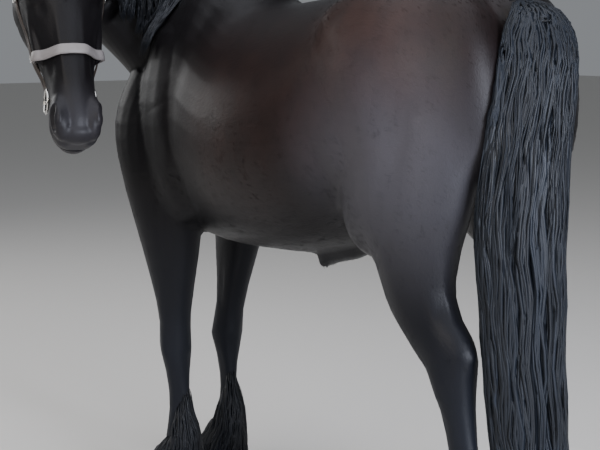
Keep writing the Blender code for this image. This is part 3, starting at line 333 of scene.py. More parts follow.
def oval(centre, across, front, half, fore, aft, sides=20, square=2.0):
    """Ring round a centre: half wide to each side, fore deep to the front and aft to the back."""
    ring = []
    for c, s in circle(sides):
        x = bulge(c, 2 / square) * half
        y = bulge(s, 2 / square) * (fore if s > 0 else aft)
        ring.append(centre + across * x + front * y)
    return ring


def ball(centre, radii, turn=None, rings=14, sides=20):
    """Ellipsoid, turned by a matrix."""
    turn = turn or Matrix.Identity(3)
    rows = []
    for i in range(1, rings):
        lift = math.pi * i / rings
        row = []
        for c, s in circle(sides):
            way = (math.sin(lift) * c, math.sin(lift) * s, math.cos(lift))
            row.append(Vector(centre) + turn @ Vector([w * radius for w, radius in zip(way, radii)]))
        rows.append(row)
    return tube_of("form", rows)


# %% [markdown]
# ### Trunk and legs
# Stations of the trunk go from breast to buttock, and those of a leg from the elbow or stifle to
# the hoof. The far legs repeat the near ones, mirrored and set further ahead.

# %% Trunk and legs
WITHERS = 1.60
TRUNK = [
    # Y, belly height, back height, half width, squareness
    (-0.700, 1.030, 1.225, 0.070, 2.0),
    (-0.675, 0.950, 1.290, 0.150, 2.1),
    (-0.610, 0.865, 1.400, 0.208, 2.2),
    (-0.500, 0.805, 1.510, 0.232, 2.2),
    (-0.360, 0.778, WITHERS - 0.015, 0.250, 2.1),
    (-0.240, 0.776, 1.520, 0.276, 2.1),
    (-0.130, 0.780, 1.466, 0.300, 2.2),
    (0.040, 0.790, 1.472, 0.323, 2.25),
    (0.220, 0.826, 1.496, 0.328, 2.25),
    (0.360, 0.872, 1.532, 0.305, 2.25),
    (0.480, 0.930, 1.548, 0.288, 2.3),
    (0.590, 1.000, 1.528, 0.262, 2.3),
    (0.680, 1.060, 1.478, 0.222, 2.2),
    (0.750, 1.110, 1.400, 0.150, 2.1),
    (0.780, 1.160, 1.340, 0.070, 2.0),
]
FORE_LEG = [
    # X, Y, Z, half width, depth to the front, depth to the back
    (0.150, -0.520, 1.260, 0.060, 0.110, 0.120),
    (0.165, -0.540, 1.120, 0.090, 0.140, 0.150),
    (0.165, -0.520, 0.980, 0.094, 0.128, 0.135),
    (0.158, -0.508, 0.860, 0.082, 0.108, 0.118),
    (0.150, -0.500, 0.760, 0.069, 0.092, 0.100),
    (0.144, -0.496, 0.660, 0.056, 0.072, 0.074),
    (0.139, -0.495, 0.560, 0.046, 0.053, 0.052),
    (0.136, -0.495, 0.500, 0.048, 0.050, 0.047),
    (0.135, -0.495, 0.455, 0.050, 0.049, 0.047),
    (0.134, -0.492, 0.405, 0.041, 0.040, 0.042),
    (0.134, -0.490, 0.340, 0.030, 0.033, 0.041),
    (0.134, -0.489, 0.270, 0.029, 0.031, 0.041),
    (0.134, -0.488, 0.215, 0.038, 0.038, 0.048),
    (0.135, -0.503, 0.160, 0.035, 0.037, 0.042),
    (0.136, -0.525, 0.110, 0.050, 0.050, 0.052),
    (0.137, -0.540, 0.060, 0.060, 0.062, 0.060),
]
HIND_LEG = [
    (0.120, 0.520, 1.330, 0.100, 0.150, 0.160),
    (0.158, 0.540, 1.200, 0.118, 0.200, 0.200),
    (0.172, 0.560, 1.070, 0.112, 0.200, 0.195),
    (0.180, 0.580, 0.960, 0.098, 0.176, 0.160),
    (0.182, 0.594, 0.860, 0.078, 0.124, 0.118),
    (0.182, 0.612, 0.770, 0.064, 0.098, 0.092),
    (0.180, 0.655, 0.690, 0.054, 0.078, 0.078),
    (0.178, 0.700, 0.625, 0.052, 0.066, 0.082),
    (0.176, 0.716, 0.570, 0.051, 0.062, 0.058),
    (0.175, 0.728, 0.500, 0.040, 0.044, 0.048),
    (0.174, 0.744, 0.410, 0.033, 0.038, 0.044),
    (0.174, 0.764, 0.300, 0.032, 0.036, 0.044),
    (0.174, 0.782, 0.220, 0.040, 0.041, 0.050),
    (0.174, 0.772, 0.160, 0.036, 0.039, 0.042),
    (0.175, 0.754, 0.110, 0.050, 0.050, 0.052),
    (0.175, 0.742, 0.060, 0.058, 0.062, 0.060),
]
FORE_TOE_OUT = math.radians(16)
HIND_TOE_OUT = math.radians(6)
FAR_FORE_AHEAD = -0.115
FAR_HIND_AHEAD = -0.070


def far_leg(stations, ahead):
    """The same leg on the other side, moved ahead more and more as it goes down."""
    top = stations[0][2]
    moved = []
    for x, y, z, half, fore, aft in stations:
        share = min(1.0, max(0.0, (top - z) / (top - 0.45)))
        moved.append((-x, y + ahead * share, z, half, fore, aft))
    return moved


LEGS = {
    "fore_left": (FORE_LEG, FORE_TOE_OUT, 1),
    "fore_right": (far_leg(FORE_LEG, FAR_FORE_AHEAD), FORE_TOE_OUT, -1),
    "hind_left": (HIND_LEG, HIND_TOE_OUT, 1),
    "hind_right": (far_leg(HIND_LEG, FAR_HIND_AHEAD), HIND_TOE_OUT, -1),
}


print("stations:", len(TRUNK), "on the trunk and", len(FORE_LEG), "or", len(HIND_LEG), "on a leg")


def crossing(rows, z, column=2):
    """Row of numbers at a height, from rows that fall in height."""
    for upper, lower in zip(rows, rows[1:]):
        if upper[column] >= z >= lower[column]:
            t = (upper[column] - z) / (upper[column] - lower[column])
            return [a + (b - a) * t for a, b in zip(upper, lower)]
    return list(rows[-1])


def trunk_form():
    """Barrel of the body, narrower along the back and the belly than a true oval."""
    rings = []
    for y, low, high, half, square in between(TRUNK, 4):
        ring = []
        middle = low + (high - low) * 0.46
        for c, s in circle(48):
            reach = (high - middle) if s > 0 else (middle - low)
            narrow = 1.0 - 0.16 * max(s, 0.0) ** 2 - 0.10 * max(-s, 0.0) ** 2
            x = bulge(c, 2 / square) * half * narrow
            z = bulge(s, 2 / square) * reach
            ring.append(at(x, y, middle + z))
        rings.append(ring)
    return tube_of("trunk_form", rings)


def leg_ways(yaw, side):
    """The ways across and ahead of a leg that is turned out by its yaw."""
    return Vector((math.cos(yaw), math.sin(yaw) * side, 0)), Vector((math.sin(yaw) * side, -math.cos(yaw), 0))


def leg_form(stations, yaw, side):
    """One leg, each ring square to the leg's own run."""
    across, _ = leg_ways(yaw, side)
    rows = between(stations, 4)
    points = [at(*row[:3]) for row in rows]
    rings = []
    for i, row in enumerate(rows):
        run = points[min(i + 1, len(rows) - 1)] - points[max(i - 1, 0)]
        front = across.cross(run).normalized()
        if front.y > 0:
            front.negate()
        rings.append(oval(points[i], across, front, row[3], row[4], row[5], 24, 2.15))
    return tube_of("leg_form", rings)


# %% [markdown]
# ### Neck and head
# The neck turns 150 degrees to the left, because the horse looks back along its own side. The
# head hangs from the poll in its own three directions: down the face, out of the forehead and to
# the horse's left.

# %% Neck and head
NECK_BASE = at(0.0, -0.400, 1.235)
NECK_TURN = math.radians(150)
NECK_RUN = 0.665
NECK_RISE = 0.400
NECK = [
    # Share of the neck's length, half width, depth to the crest, depth to the throat
    (-0.12, 0.200, 0.330, 0.300),
    (0.00, 0.192, 0.335, 0.284),
    (0.16, 0.168, 0.300, 0.228),
    (0.36, 0.132, 0.246, 0.160),
    (0.56, 0.106, 0.208, 0.122),
    (0.74, 0.090, 0.178, 0.112),
    (0.86, 0.080, 0.150, 0.105),
    (0.94, 0.062, 0.105, 0.085),
]
POLL = at(0.477, -0.561, 1.681)
FACE_DOWN = Vector((0.156, 0.420, -0.896)).normalized()
HEAD_LEFT = Vector((-0.937, 0.348, 0.0)).normalized()
FACE_OUT = FACE_DOWN.cross(HEAD_LEFT).normalized()
HEAD_TURN = Matrix((HEAD_LEFT, FACE_OUT, FACE_DOWN)).transposed()
HEAD_STRETCH = 0.935
HEAD = [
    # Distance from the poll, half width, face, jaw, squareness
    (-0.030, 0.050, 0.010, -0.085, 2.0),
    (0.020, 0.080, 0.040, -0.145, 2.1),
    (0.090, 0.106, 0.060, -0.215, 2.3),
    (0.165, 0.120, 0.068, -0.252, 2.5),
    (0.230, 0.121, 0.068, -0.260, 2.6),
    (0.300, 0.110, 0.062, -0.242, 2.6),
    (0.365, 0.089, 0.054, -0.202, 2.6),
    (0.430, 0.075, 0.048, -0.162, 2.5),
    (0.495, 0.066, 0.043, -0.134, 2.5),
    (0.550, 0.064, 0.040, -0.122, 2.5),
    (0.600, 0.068, 0.038, -0.118, 2.5),
    (0.650, 0.066, 0.030, -0.114, 2.5),
    (0.683, 0.054, 0.010, -0.096, 2.3),
    (0.697, 0.034, -0.014, -0.070, 2.0),
]


def neck_point(share):
    """Middle of the neck, where 0 is inside the shoulders and 1 is behind the poll."""
    steps = 24
    x = 0.0
    y = 0.0
    for i in range(steps):
        s = (i + 0.5) / steps * share
        heading = NECK_TURN * (0.90 * s + 0.10 * s * (2 - s))
        x += math.sin(heading) * NECK_RUN * share / steps
        y -= math.cos(heading) * NECK_RUN * share / steps
    lift = NECK_RISE * (1.12 * share - 0.12 * share * share)
    return NECK_BASE + Vector((x, y, lift))


def neck_frame(share):
    """Middle of the neck, its left, its run and the way up to its crest."""
    here = neck_point(share)
    run = (neck_point(share + 0.02) - neck_point(share - 0.02)).normalized()
    across = Vector((-run.y, run.x, 0)).normalized()
    up = run.cross(across).normalized()
    if up.z < 0:
        up.negate()
    return here, across, run, up


def neck_section(share):
    """Half width, crest and throat of the neck at a share of its length."""
    for low, high in zip(NECK, NECK[1:]):
        if low[0] <= share <= high[0]:
            t = (share - low[0]) / (high[0] - low[0])
            return [a + (b - a) * t for a, b in zip(low[1:], high[1:])]
    return list(NECK[-1][1:])


def neck_form():
    """The neck, bent round to the left."""
    rings = []
    for share, half, crest, throat in between(NECK, 6):
        here, across, _, up = neck_frame(share)
        rings.append(oval(here, across, up, half, crest, throat, 32, 2.1))
    return tube_of("neck_form", rings)


def head_at(left, out, down):
    """A place on the head: to its left, out of the face and down from the poll."""
    return POLL + HEAD_LEFT * left + FACE_OUT * out + FACE_DOWN * (down * HEAD_STRETCH)


def on_side(place, side):
    """A listed place on the left of the head, or its mirror image on the right."""
    left, out, down = place
    return head_at(side * left, out, down)


def head_form():
    """The head, narrower towards the forehead and the jaw."""
    rings = []
    for down, half, face, jaw, square in between(HEAD, 4):
        centre = head_at(0, (face + jaw) / 2, down)
        reach = (face - jaw) / 2
        ring = []
        for c, s in circle(40):
            narrow = 1.0 - 0.30 * max(s, 0.0) ** 3 - 0.22 * max(-s, 0.0)
            x = bulge(c, 2 / square) * half * narrow
            y = bulge(s, 2 / square) * reach
            ring.append(centre + HEAD_LEFT * x + FACE_OUT * y)
        rings.append(ring)
    return tube_of("head_form", rings)


MUZZLE_PLACE = head_at(0.0, -0.030, 0.650)
EYE_PLACE = (0.098, 0.008, 0.212)
EYE_RADIUS = 0.0230
print("poll at", [round(c, 3) for c in POLL], "and muzzle at", [round(c, 3) for c in MUZZLE_PLACE])

# %% [markdown]
# ## The skin
# Under its coat the horse is one surface, so its skin is one mesh with no seams. The lofted forms
# overlap like lumps of clay. A voxel remesh turns them into one skin, smoothing runs the muscles
# into each other, and then the surface is modelled like clay: each stroke lifts or sinks the skin
# along a line or in a spot.

# %% Muscles, cheeks and lips as overlapping forms
SKIN_VOXEL = 0.0042
COAT_DEPTH = 0.002      # how far the skin lies under the coat's tips
SKIN_TRIANGLES = 190000


def muscle_forms():
    """Balls for the breast, shoulder, thigh, buttock and stifle."""
    made = []
    for side in (1, -1):
        for x, y, z, radii in ((0.125, -0.596, 1.075, (0.098, 0.102, 0.155)),
                               (0.165, -0.420, 1.120, (0.090, 0.190, 0.290)),
                               (0.150, 0.450, 1.240, (0.155, 0.290, 0.270)),
                               (0.118, 0.630, 1.230, (0.120, 0.165, 0.270)),
                               (0.190, 0.450, 0.990, (0.078, 0.110, 0.150))):
            made.append(ball(at(side * x, y, z), radii))
    return made


def face_form_set():
    """Balls for the lips, the sockets and brows of the eyes, the cheekbones and the nostrils."""
    made = [ball(head_at(0, -0.082, 0.662), (0.044, 0.036, 0.034), HEAD_TURN),
            ball(head_at(0, -0.010, 0.668), (0.054, 0.036, 0.030), HEAD_TURN)]
    for side in (1, -1):
        for left, out, down, radii in ((0.072, 0.000, 0.206, (0.042, 0.056, 0.078)),
                                       (0.084, 0.010, 0.196, (0.026, 0.030, 0.040)),
                                       (0.078, -0.030, 0.320, (0.024, 0.020, 0.120)),
                                       (0.040, -0.006, 0.618, (0.032, 0.042, 0.070)),
                                       (0.053, 0.014, 0.628, (0.017, 0.022, 0.034))):
            made.append(ball(on_side((left, out, down), side), radii, HEAD_TURN))
    return made


# Y, Z and half width of the dock, and of the fold of skin under the belly
DOCK = [(0.62, 1.450, 0.050), (0.70, 1.442, 0.046), (0.76, 1.425, 0.040), (0.81, 1.398, 0.034),
        (0.85, 1.340, 0.028), (0.86, 1.240, 0.020)]
SHEATH = [(0.260, 0.870, 0.040), (0.160, 0.822, 0.050), (0.080, 0.797, 0.044), (0.035, 0.772, 0.032),
          (0.014, 0.752, 0.020)]
ACROSS = Vector((1, 0, 0))


def dock_form():
    """The fleshy root of the tail."""
    rings = []
    for y, z, half in between(DOCK, 4):
        centre = at(0.02 * max(0, y - 0.78) / 0.08, y, z)
        rings.append(oval(centre, ACROSS, Vector((0, 0.35, 0.94)), half, half, half, 16))
    return tube_of("dock_form", rings)


def sheath_form():
    """The fold of skin under the belly, ahead of the hind legs."""
    rings = []
    for y, z, half in between(SHEATH, 4):
        rings.append(oval(at(0, y, z), ACROSS, Vector((0, -0.5, 0.86)), half, half * 0.8, half * 0.8, 16))
    return tube_of("sheath_form", rings)


EAR_BASE = (0.052, -0.008, -0.026)      # left of the middle, out of the face, down from the poll
EAR_LENGTH = 0.150


def ear_frame(side):
    """Foot of an ear, its axis, and the way its cup opens."""
    foot = on_side(EAR_BASE, side)
    axis = (FACE_DOWN * -0.94 + HEAD_LEFT * side * 0.22 + FACE_OUT * 0.10).normalized()
    opening = (FACE_OUT * 0.90 + HEAD_LEFT * side * 0.45)
    opening = (opening - axis * opening.dot(axis)).normalized()
    return foot, axis, opening


def ear_stumps():
    """Balls that carry the ears."""
    made = []
    for side in (1, -1):
        foot, axis, _ = ear_frame(side)
        made.append(ball(foot - axis * 0.014, (0.029, 0.029, 0.029)))
    return made


# %% Joining the forms into one skin
def pick(objects):
    """Selects these objects alone, the first as the active one."""
    bpy.ops.object.select_all(action="DESELECT")
    for obj in objects:
        obj.select_set(True)
    bpy.context.view_layer.objects.active = objects[0]


def join(objects, name):
    """Makes one mesh of several."""
    pick(objects)
    bpy.ops.object.join()
    joined = bpy.context.view_layer.objects.active
    joined.name = name
    joined.data.name = name
    return joined


def apply_modifier(obj, kind, **settings):
    """Adds a modifier to a mesh and applies it at once."""
    pick([obj])
    modifier = obj.modifiers.new("work", kind)
    for key, value in settings.items():
        setattr(modifier, key, value)
    bpy.ops.object.modifier_apply(modifier=modifier.name)


def points_of(obj):
    found = np.empty(len(obj.data.vertices) * 3)
    obj.data.vertices.foreach_get("co", found)
    return found.reshape(-1, 3)


def normals_of(obj):
    found = np.empty(len(obj.data.vertices) * 3)
    obj.data.vertices.foreach_get("normal", found)
    return found.reshape(-1, 3)


def set_points(obj, points):
    obj.data.vertices.foreach_set("co", np.ascontiguousarray(points, dtype=np.float32).ravel())
    obj.data.update()


def smooth_where(obj, weights, iterations):
    """Smooths the mesh by each point's own weight."""
    group = obj.vertex_groups.new(name="soft")
    levels = np.round(weights * 10).astype(int)
    for level in range(1, 11):
        chosen = np.nonzero(levels == level)[0]
        if len(chosen):
            group.add(chosen.tolist(), level / 10, "REPLACE")
    apply_modifier(obj, "SMOOTH", factor=0.5, iterations=iterations, vertex_group="soft")
    obj.vertex_groups.clear()


def away_from_head(points):
    """0 on the head and 1 on the body, with a soft change on the neck just behind it."""
    local = (points - np.array(POLL)) @ np.array(HEAD_TURN)
    # Distance behind a plane that slants from the poll to the jaw, and outside a ball round the head
    behind = -(local[:, 1] + 0.15) * 0.754 - local[:, 2] * 0.656 + 0.065 * 0.656
    far = np.linalg.norm(points - np.array(head_at(0, -0.05, 0.33)), axis=1) - 0.42
    return np.clip(np.maximum(behind, far) / 0.08, 0.0, 1.0)


forms = [trunk_form(), neck_form(), head_form(), dock_form(), sheath_form(),
         *muscle_forms(), *face_form_set(), *ear_stumps()]
forms += [leg_form(*leg) for leg in LEGS.values()]
skin = join(forms, "skin")
apply_modifier(skin, "REMESH", mode="VOXEL", voxel_size=SKIN_VOXEL, adaptivity=0.0)
soft_steps = int(14 * (0.012 / SKIN_VOXEL) ** 2)
smooth_where(skin, away_from_head(points_of(skin)), soft_steps)
smooth_where(skin, np.ones(len(skin.data.vertices)), 6)
print("skin before modelling:", len(skin.data.vertices), "points")

# %% [markdown]
# ### Modelling the surface
# Sculpting by hand is done with brushes. Each brush here is a soft bump in a spot or along a line,
# pushed along the skin's own normal, so the strokes can be listed and repeated exactly.

# %% Brushes
def stroke(points, normals, stops, width, amount):
    """Raises the skin along a line through stops, or sinks it. It fades out at both ends."""
    rows = np.array(between([tuple(stop) for stop in stops], 6))
    close = np.all((points > rows.min(axis=0) - 3 * width) & (points < rows.max(axis=0) + 3 * width), axis=1)
    chosen = np.nonzero(close)[0]
    here = points[chosen]
    best = np.full(len(chosen), 1e9)
    along = np.zeros(len(chosen))
    total = len(rows) - 1
    for i in range(total):
        step = rows[i + 1] - rows[i]
        share = np.clip(((here - rows[i]) @ step) / max(step @ step, 1e-12), 0.0, 1.0)
        apart = np.linalg.norm(here - (rows[i] + share[:, None] * step), axis=1)
        closer = apart < best
        best = np.where(closer, apart, best)
        along = np.where(closer, (i + share) / total, along)
    ends = np.sin(np.pi * np.clip(0.06 + 0.88 * along, 0, 1)) ** 0.6
    points[chosen] += normals[chosen] * (amount * np.exp(-(best / width) ** 2) * ends)[:, None]


# %% Strokes of the trunk and legs
# Each stroke: stops on the left side as X, Y, Z, width and amount, in metres.
BODY_STROKES = [
    # Spine of the shoulder blade
    ([(0.09, -0.36, 1.52), (0.15, -0.48, 1.36), (0.18, -0.60, 1.16)], 0.045, 0.007),
    # Groove behind the shoulder
    ([(0.17, -0.26, 1.46), (0.21, -0.31, 1.28), (0.22, -0.36, 1.02)], 0.040, -0.011),
    # Triceps
    ([(0.24, -0.40, 1.18), (0.23, -0.36, 1.05), (0.19, -0.42, 0.96)], 0.050, 0.012),
    ([(0.17, -0.56, 1.30), (0.20, -0.50, 1.18)], 0.045, -0.006),
    # Muscle of the forearm
    ([(0.19, -0.62, 0.98), (0.16, -0.58, 0.86), (0.15, -0.55, 0.70)], 0.026, 0.005),
    # Point of the hip
    ([(0.22, 0.30, 1.44), (0.27, 0.36, 1.41)], 0.050, 0.013),
    # Muscle over the thigh
    ([(0.28, 0.42, 1.36), (0.27, 0.50, 1.24), (0.26, 0.52, 1.10)], 0.050, 0.009),
    ([(0.12, 0.73, 1.38), (0.19, 0.70, 1.18), (0.22, 0.66, 0.98), (0.20, 0.65, 0.84)], 0.026, -0.010),
    # Buttock behind that groove
    ([(0.10, 0.78, 1.28), (0.15, 0.77, 1.10), (0.17, 0.74, 0.92)], 0.045, 0.008),
    ([(0.27, 0.62, 1.26), (0.27, 0.60, 1.08), (0.25, 0.56, 0.94)], 0.026, -0.006),
    # Fold of the flank
    ([(0.30, 0.28, 1.22), (0.28, 0.34, 1.06), (0.24, 0.38, 0.94)], 0.035, -0.010),
    # Stifle
    ([(0.25, 0.42, 0.98), (0.25, 0.48, 0.90)], 0.050, 0.008),
    # Gaskin
    ([(0.24, 0.54, 0.92), (0.235, 0.58, 0.80), (0.22, 0.62, 0.70)], 0.030, 0.006),
    ([(0.19, 0.46, 0.88), (0.19, 0.52, 0.78), (0.18, 0.58, 0.68), (0.178, 0.64, 0.60)], 0.045, 0.010),
    # Achilles tendon
    ([(0.20, 0.70, 0.84), (0.18, 0.76, 0.72), (0.176, 0.78, 0.66)], 0.014, 0.006),
    # Hollow ahead of it
    ([(0.21, 0.68, 0.80), (0.205, 0.71, 0.70)], 0.014, -0.006),
    # Point of the hock
    ([(0.176, 0.785, 0.655), (0.176, 0.785, 0.625)], 0.022, 0.008),
    # Ribs
    ([(0.30, -0.05, 1.34), (0.335, 0.02, 1.16), (0.30, 0.06, 0.95)], 0.022, 0.0018),
    ([(0.31, 0.05, 1.34), (0.34, 0.11, 1.16), (0.31, 0.15, 0.97)], 0.022, 0.0018),
    ([(0.30, -0.15, 1.33), (0.32, -0.08, 1.14), (0.29, -0.04, 0.94)], 0.022, 0.0016),
    ([(0.31, 0.15, 1.35), (0.34, 0.20, 1.18), (0.31, 0.24, 1.02)], 0.022, 0.0016),
    # Vein along the belly
    ([(0.29, -0.23, 0.98), (0.30, -0.05, 0.90), (0.28, 0.12, 0.90)], 0.012, 0.0030),
    # Breast
    ([(0.12, -0.73, 1.18), (0.14, -0.70, 1.06)], 0.040, 0.008),
]
MIDLINE_STROKES = [
    # Groove over the croup
    ([(0, 0.30, 1.55), (0, 0.50, 1.56), (0, 0.66, 1.50)], 0.030, -0.010),
    # Groove of the breast
    ([(0, -0.72, 1.24), (0, -0.70, 1.10), (0, -0.66, 0.98)], 0.024, -0.014),
    # Withers
    ([(0, -0.42, 1.62), (0, -0.30, 1.58), (0, -0.18, 1.52)], 0.040, 0.010),
    # Cleft between the thighs
    ([(0, 0.86, 1.30), (0, 0.80, 1.16), (0, 0.74, 1.00)], 0.030, -0.016),
]


def leg_strokes(name):
    """Tendons, bones and joints of one leg, from its own stations."""
    stations, yaw, side = LEGS[name]
    across = np.array((math.cos(yaw), math.sin(yaw) * side, 0))
    ahead = np.array((math.sin(yaw) * side, -math.cos(yaw), 0))
    made = []

    def line(heights, out, fore, width, amount):
        stops = []
        for z in heights:
            x, y, _, half, front, back = crossing(stations, z)
            reach = front if fore > 0 else back
            stops.append(np.array(at(x, y, z)) + across * (half * out) + ahead * (reach * fore))
        made.append((stops, width, amount))

    fore = name.startswith("fore")
    for out in (0.85, -0.85):
        line((0.38, 0.32, 0.26, 0.23), out, -0.45, 0.007, -0.0035)      # groove between bone and tendon
        line((0.24, 0.21), out, -0.45, 0.012, 0.0040)                   # sesamoid bones
        line((0.23, 0.20), out, 0.10, 0.016, 0.0030)                    # fetlock
    line((0.40, 0.34, 0.27), 0.0, -1.0, 0.010, 0.0035)                  # back tendon
    line((0.17, 0.13), 0.0, -0.9, 0.018, -0.005)                        # hollow of the pastern
    if fore:
        line((0.49, 0.46), 0.0, 1.0, 0.026, 0.0045)                     # knee cap
        line((0.47, 0.45), 0.0, -1.0, 0.014, 0.0060)                    # bone behind the knee
        for out in (0.9, -0.9):
            line((0.47, 0.44), out, 0.2, 0.016, 0.0040)
            line((0.70, 0.60, 0.52), out, -0.3, 0.010, -0.0035)         # groove of the forearm
    else:
        for out in (0.9, -0.9):
            line((0.56, 0.53), out, 0.3, 0.018, 0.0045)
            line((0.64, 0.60), out, -0.45, 0.014, -0.0050)              # hollow of the hock
    return made


def model_body(points, normals):
    """All strokes of the trunk and the legs."""
    for stops, width, amount in BODY_STROKES:
        for side in (1, -1):
            stroke(points, normals, [at(side * x, y, z) for x, y, z in stops], width, amount)
    for stops, width, amount in MIDLINE_STROKES:
        stroke(points, normals, [at(*stop) for stop in stops], width, amount)
    for name in LEGS:
        for stops, width, amount in leg_strokes(name):
            stroke(points, normals, stops, width, amount)


# %% Strokes of the head and neck
# Each stroke: stops as left, out and down on the head, width and amount.
HEAD_STROKES = [
    # Facial crest
    ([(0.090, -0.010, 0.250), (0.092, -0.024, 0.320), (0.078, -0.034, 0.390)], 0.010, 0.006),
    ([(0.100, -0.070, 0.240), (0.094, -0.080, 0.320), (0.080, -0.080, 0.400)], 0.022, -0.006),
    # Hollow over the eye
    ([(0.070, 0.045, 0.120), (0.080, 0.040, 0.160)], 0.020, -0.009),
    # Below the eye
    ([(0.080, 0.020, 0.255), (0.070, 0.034, 0.320)], 0.018, -0.004),
    # Edge of the nose bone
    ([(0.034, 0.046, 0.300), (0.030, 0.036, 0.420), (0.026, 0.030, 0.520)], 0.010, 0.004),
    ([(0.060, 0.010, 0.400), (0.056, 0.004, 0.500)], 0.016, -0.005),
    # Rims of the nostril, and then its hollow
    ([(0.060, 0.020, 0.588), (0.078, 0.006, 0.604), (0.082, -0.010, 0.638), (0.070, -0.014, 0.664)],
     0.008, 0.006),
    ([(0.056, 0.026, 0.592), (0.050, 0.032, 0.622), (0.052, 0.024, 0.652)], 0.009, 0.0055),
    ([(0.062, 0.018, 0.606), (0.070, 0.012, 0.622), (0.070, 0.000, 0.646), (0.062, -0.004, 0.656)],
     0.0085, -0.021),
    ([(0.064, 0.014, 0.614), (0.069, 0.006, 0.638)], 0.0070, -0.012),
    ([(0.076, -0.046, 0.560), (0.076, -0.044, 0.610), (0.064, -0.044, 0.660)], 0.009, 0.0035),
    # Chin
    ([(0.060, -0.086, 0.590), (0.058, -0.094, 0.640)], 0.016, 0.004),
    # Cheek
    ([(0.100, -0.120, 0.190), (0.102, -0.150, 0.260)], 0.050, 0.006),
    # Edge of the jaw
    ([(0.085, -0.190, 0.120), (0.095, -0.240, 0.200), (0.090, -0.235, 0.290)], 0.014, 0.004),
]
NECK_STROKES = [
    # Shares of the neck's length with the height above its middle, as shares, width and amount
    # Groove over the windpipe
    ([(0.10, -0.50), (0.40, -0.55), (0.80, -0.45)], 0.030, -0.008),
    ([(0.12, 0.10), (0.45, 0.05), (0.82, 0.05)], 0.050, 0.006),
    # Under the crest
    ([(0.20, 0.62), (0.50, 0.60), (0.80, 0.55)], 0.035, -0.005),
]
FOLDS = (0.58, 0.67, 0.75, 0.83)    # folds of skin inside the bend of the neck


def on_neck(share, level, side):
    """A place on the neck's skin, at a level from -1 at the throat to 1 at the crest."""
    here, across, _, up = neck_frame(share)
    half, crest, throat = neck_section(share)
    reach = crest if level > 0 else throat
    return here + up * (level * reach) + across * (side * half * math.sqrt(max(0.0, 1 - level * level)))


def model_head(points, normals):
    """All strokes of the head and the neck."""
    for stops, width, amount in HEAD_STROKES:
        for side in (1, -1):
            stroke(points, normals, [on_side(stop, side) for stop in stops], width, amount)
    for stops, width, amount in NECK_STROKES:
        for side in (1, -1):
            stroke(points, normals, [on_neck(share, level, side) for share, level in stops], width, amount)
    for share in FOLDS:
        stops = [on_neck(share - 0.02 * level, level, 1) for level in (-0.75, -0.2, 0.35)]
        stroke(points, normals, stops, 0.012, -0.006)


def finer_near(obj, places):
    """Cuts each face near some places of the head into four, for the fine forms there."""
    work = bmesh.new()
    work.from_mesh(obj.data)
    points = points_of(obj)
    chosen = np.zeros(len(points), dtype=bool)
    for place, radius in places:
        chosen |= np.linalg.norm(points - np.array(place), axis=1) < radius
    faces = [f for f in work.faces if all(chosen[v.index] for v in f.verts)]
    edges = list({e for f in faces for e in f.edges})
    bmesh.ops.subdivide_edges(work, edges=edges, cuts=1, smooth=0.0, use_grid_fill=True)
    bmesh.ops.triangulate(work, faces=[f for f in work.faces if len(f.verts) > 4])
    work.to_mesh(obj.data)
    work.free()


FINE_PLACES = [(head_at(0, -0.030, 0.640), 0.115)]
FINE_PLACES += [(head_at(side * 0.098, 0.008, 0.212), 0.050) for side in (1, -1)]
finer_near(skin, FINE_PLACES)
smooth_where(skin, np.ones(len(skin.data.vertices)), 2)
skin_points = points_of(skin)
skin_normals = normals_of(skin)
model_body(skin_points, skin_normals)
model_head(skin_points, skin_normals)
set_points(skin, skin_points)
smooth_where(skin, np.ones(len(skin_points)), 2)
print("strokes:", len(BODY_STROKES) * 2 + len(MIDLINE_STROKES), "on the body,",
      len(HEAD_STROKES) * 2, "on the head")

# %% [markdown]
# ### Mouth and eye sockets
# The lips part along a thin curved wedge, and each eye sits in a ball-shaped socket. Both are cut
# out, because a line that is only painted has no depth from the side.

# %% Cutting the openings
MOUTH_STEPS = 48
MOUTH_SECTION = ((0.78, -0.0018), (1.50, -0.0030), (1.50, 0.0030), (0.78, 0.0018))     # share outwards, rise


def cut(obj, cutter):
    """Takes a closed cutter out of a mesh."""
    apply_modifier(obj, "BOOLEAN", operation="DIFFERENCE", object=cutter, solver="MANIFOLD")
    bpy.data.objects.remove(cutter, do_unlink=True)


def mouth_cutter():
    """A curved wedge from one corner of the mouth, round the lips, to the other."""
    rings = []
    lean = FACE_OUT * 0.995 + FACE_DOWN * 0.10
    for i in range(MOUTH_STEPS + 1):
        angle = math.radians(-100 + 200 * i / MOUTH_STEPS)
        ring = []
        for reach, rise in MOUTH_SECTION:
            down = 0.590 + 0.114 * reach * math.cos(angle)
            left = 0.076 * reach * math.sin(angle)
            out = -0.062 + (down - 0.640) * -0.10
            ring.append(head_at(left, out, down) + lean * rise)
        rings.append(ring)
    return tube_of("cutter", rings)


for side in (1, -1):
    cut(skin, ball(on_side(EYE_PLACE, side), (EYE_RADIUS + 0.0015,) * 3, None, 18, 28))
cut(skin, mouth_cutter())
print("skin after the cuts:", len(skin.data.vertices), "points")


# %% Fewer triangles, most of them on the head
def keep_largest(obj):
    """Only the largest closed surface of a mesh stays."""
    work = bmesh.new()
    work.from_mesh(obj.data)
    left = set(work.verts)
    islands = []
    while left:
        stack = [left.pop()]
        island = [stack[0]]
        while stack:
            vert = stack.pop()
            for edge in vert.link_edges:
                other = edge.other_vert(vert)
                if other in left:
                    left.remove(other)
                    stack.append(other)
                    island.append(other)
        islands.append(island)
    islands.sort(key=len)
    spare = [vert for island in islands[:-1] for vert in island]
    bmesh.ops.delete(work, geom=spare, context="VERTS")
    bmesh.ops.triangulate(work, faces=work.faces)
    work.to_mesh(obj.data)
    work.free()


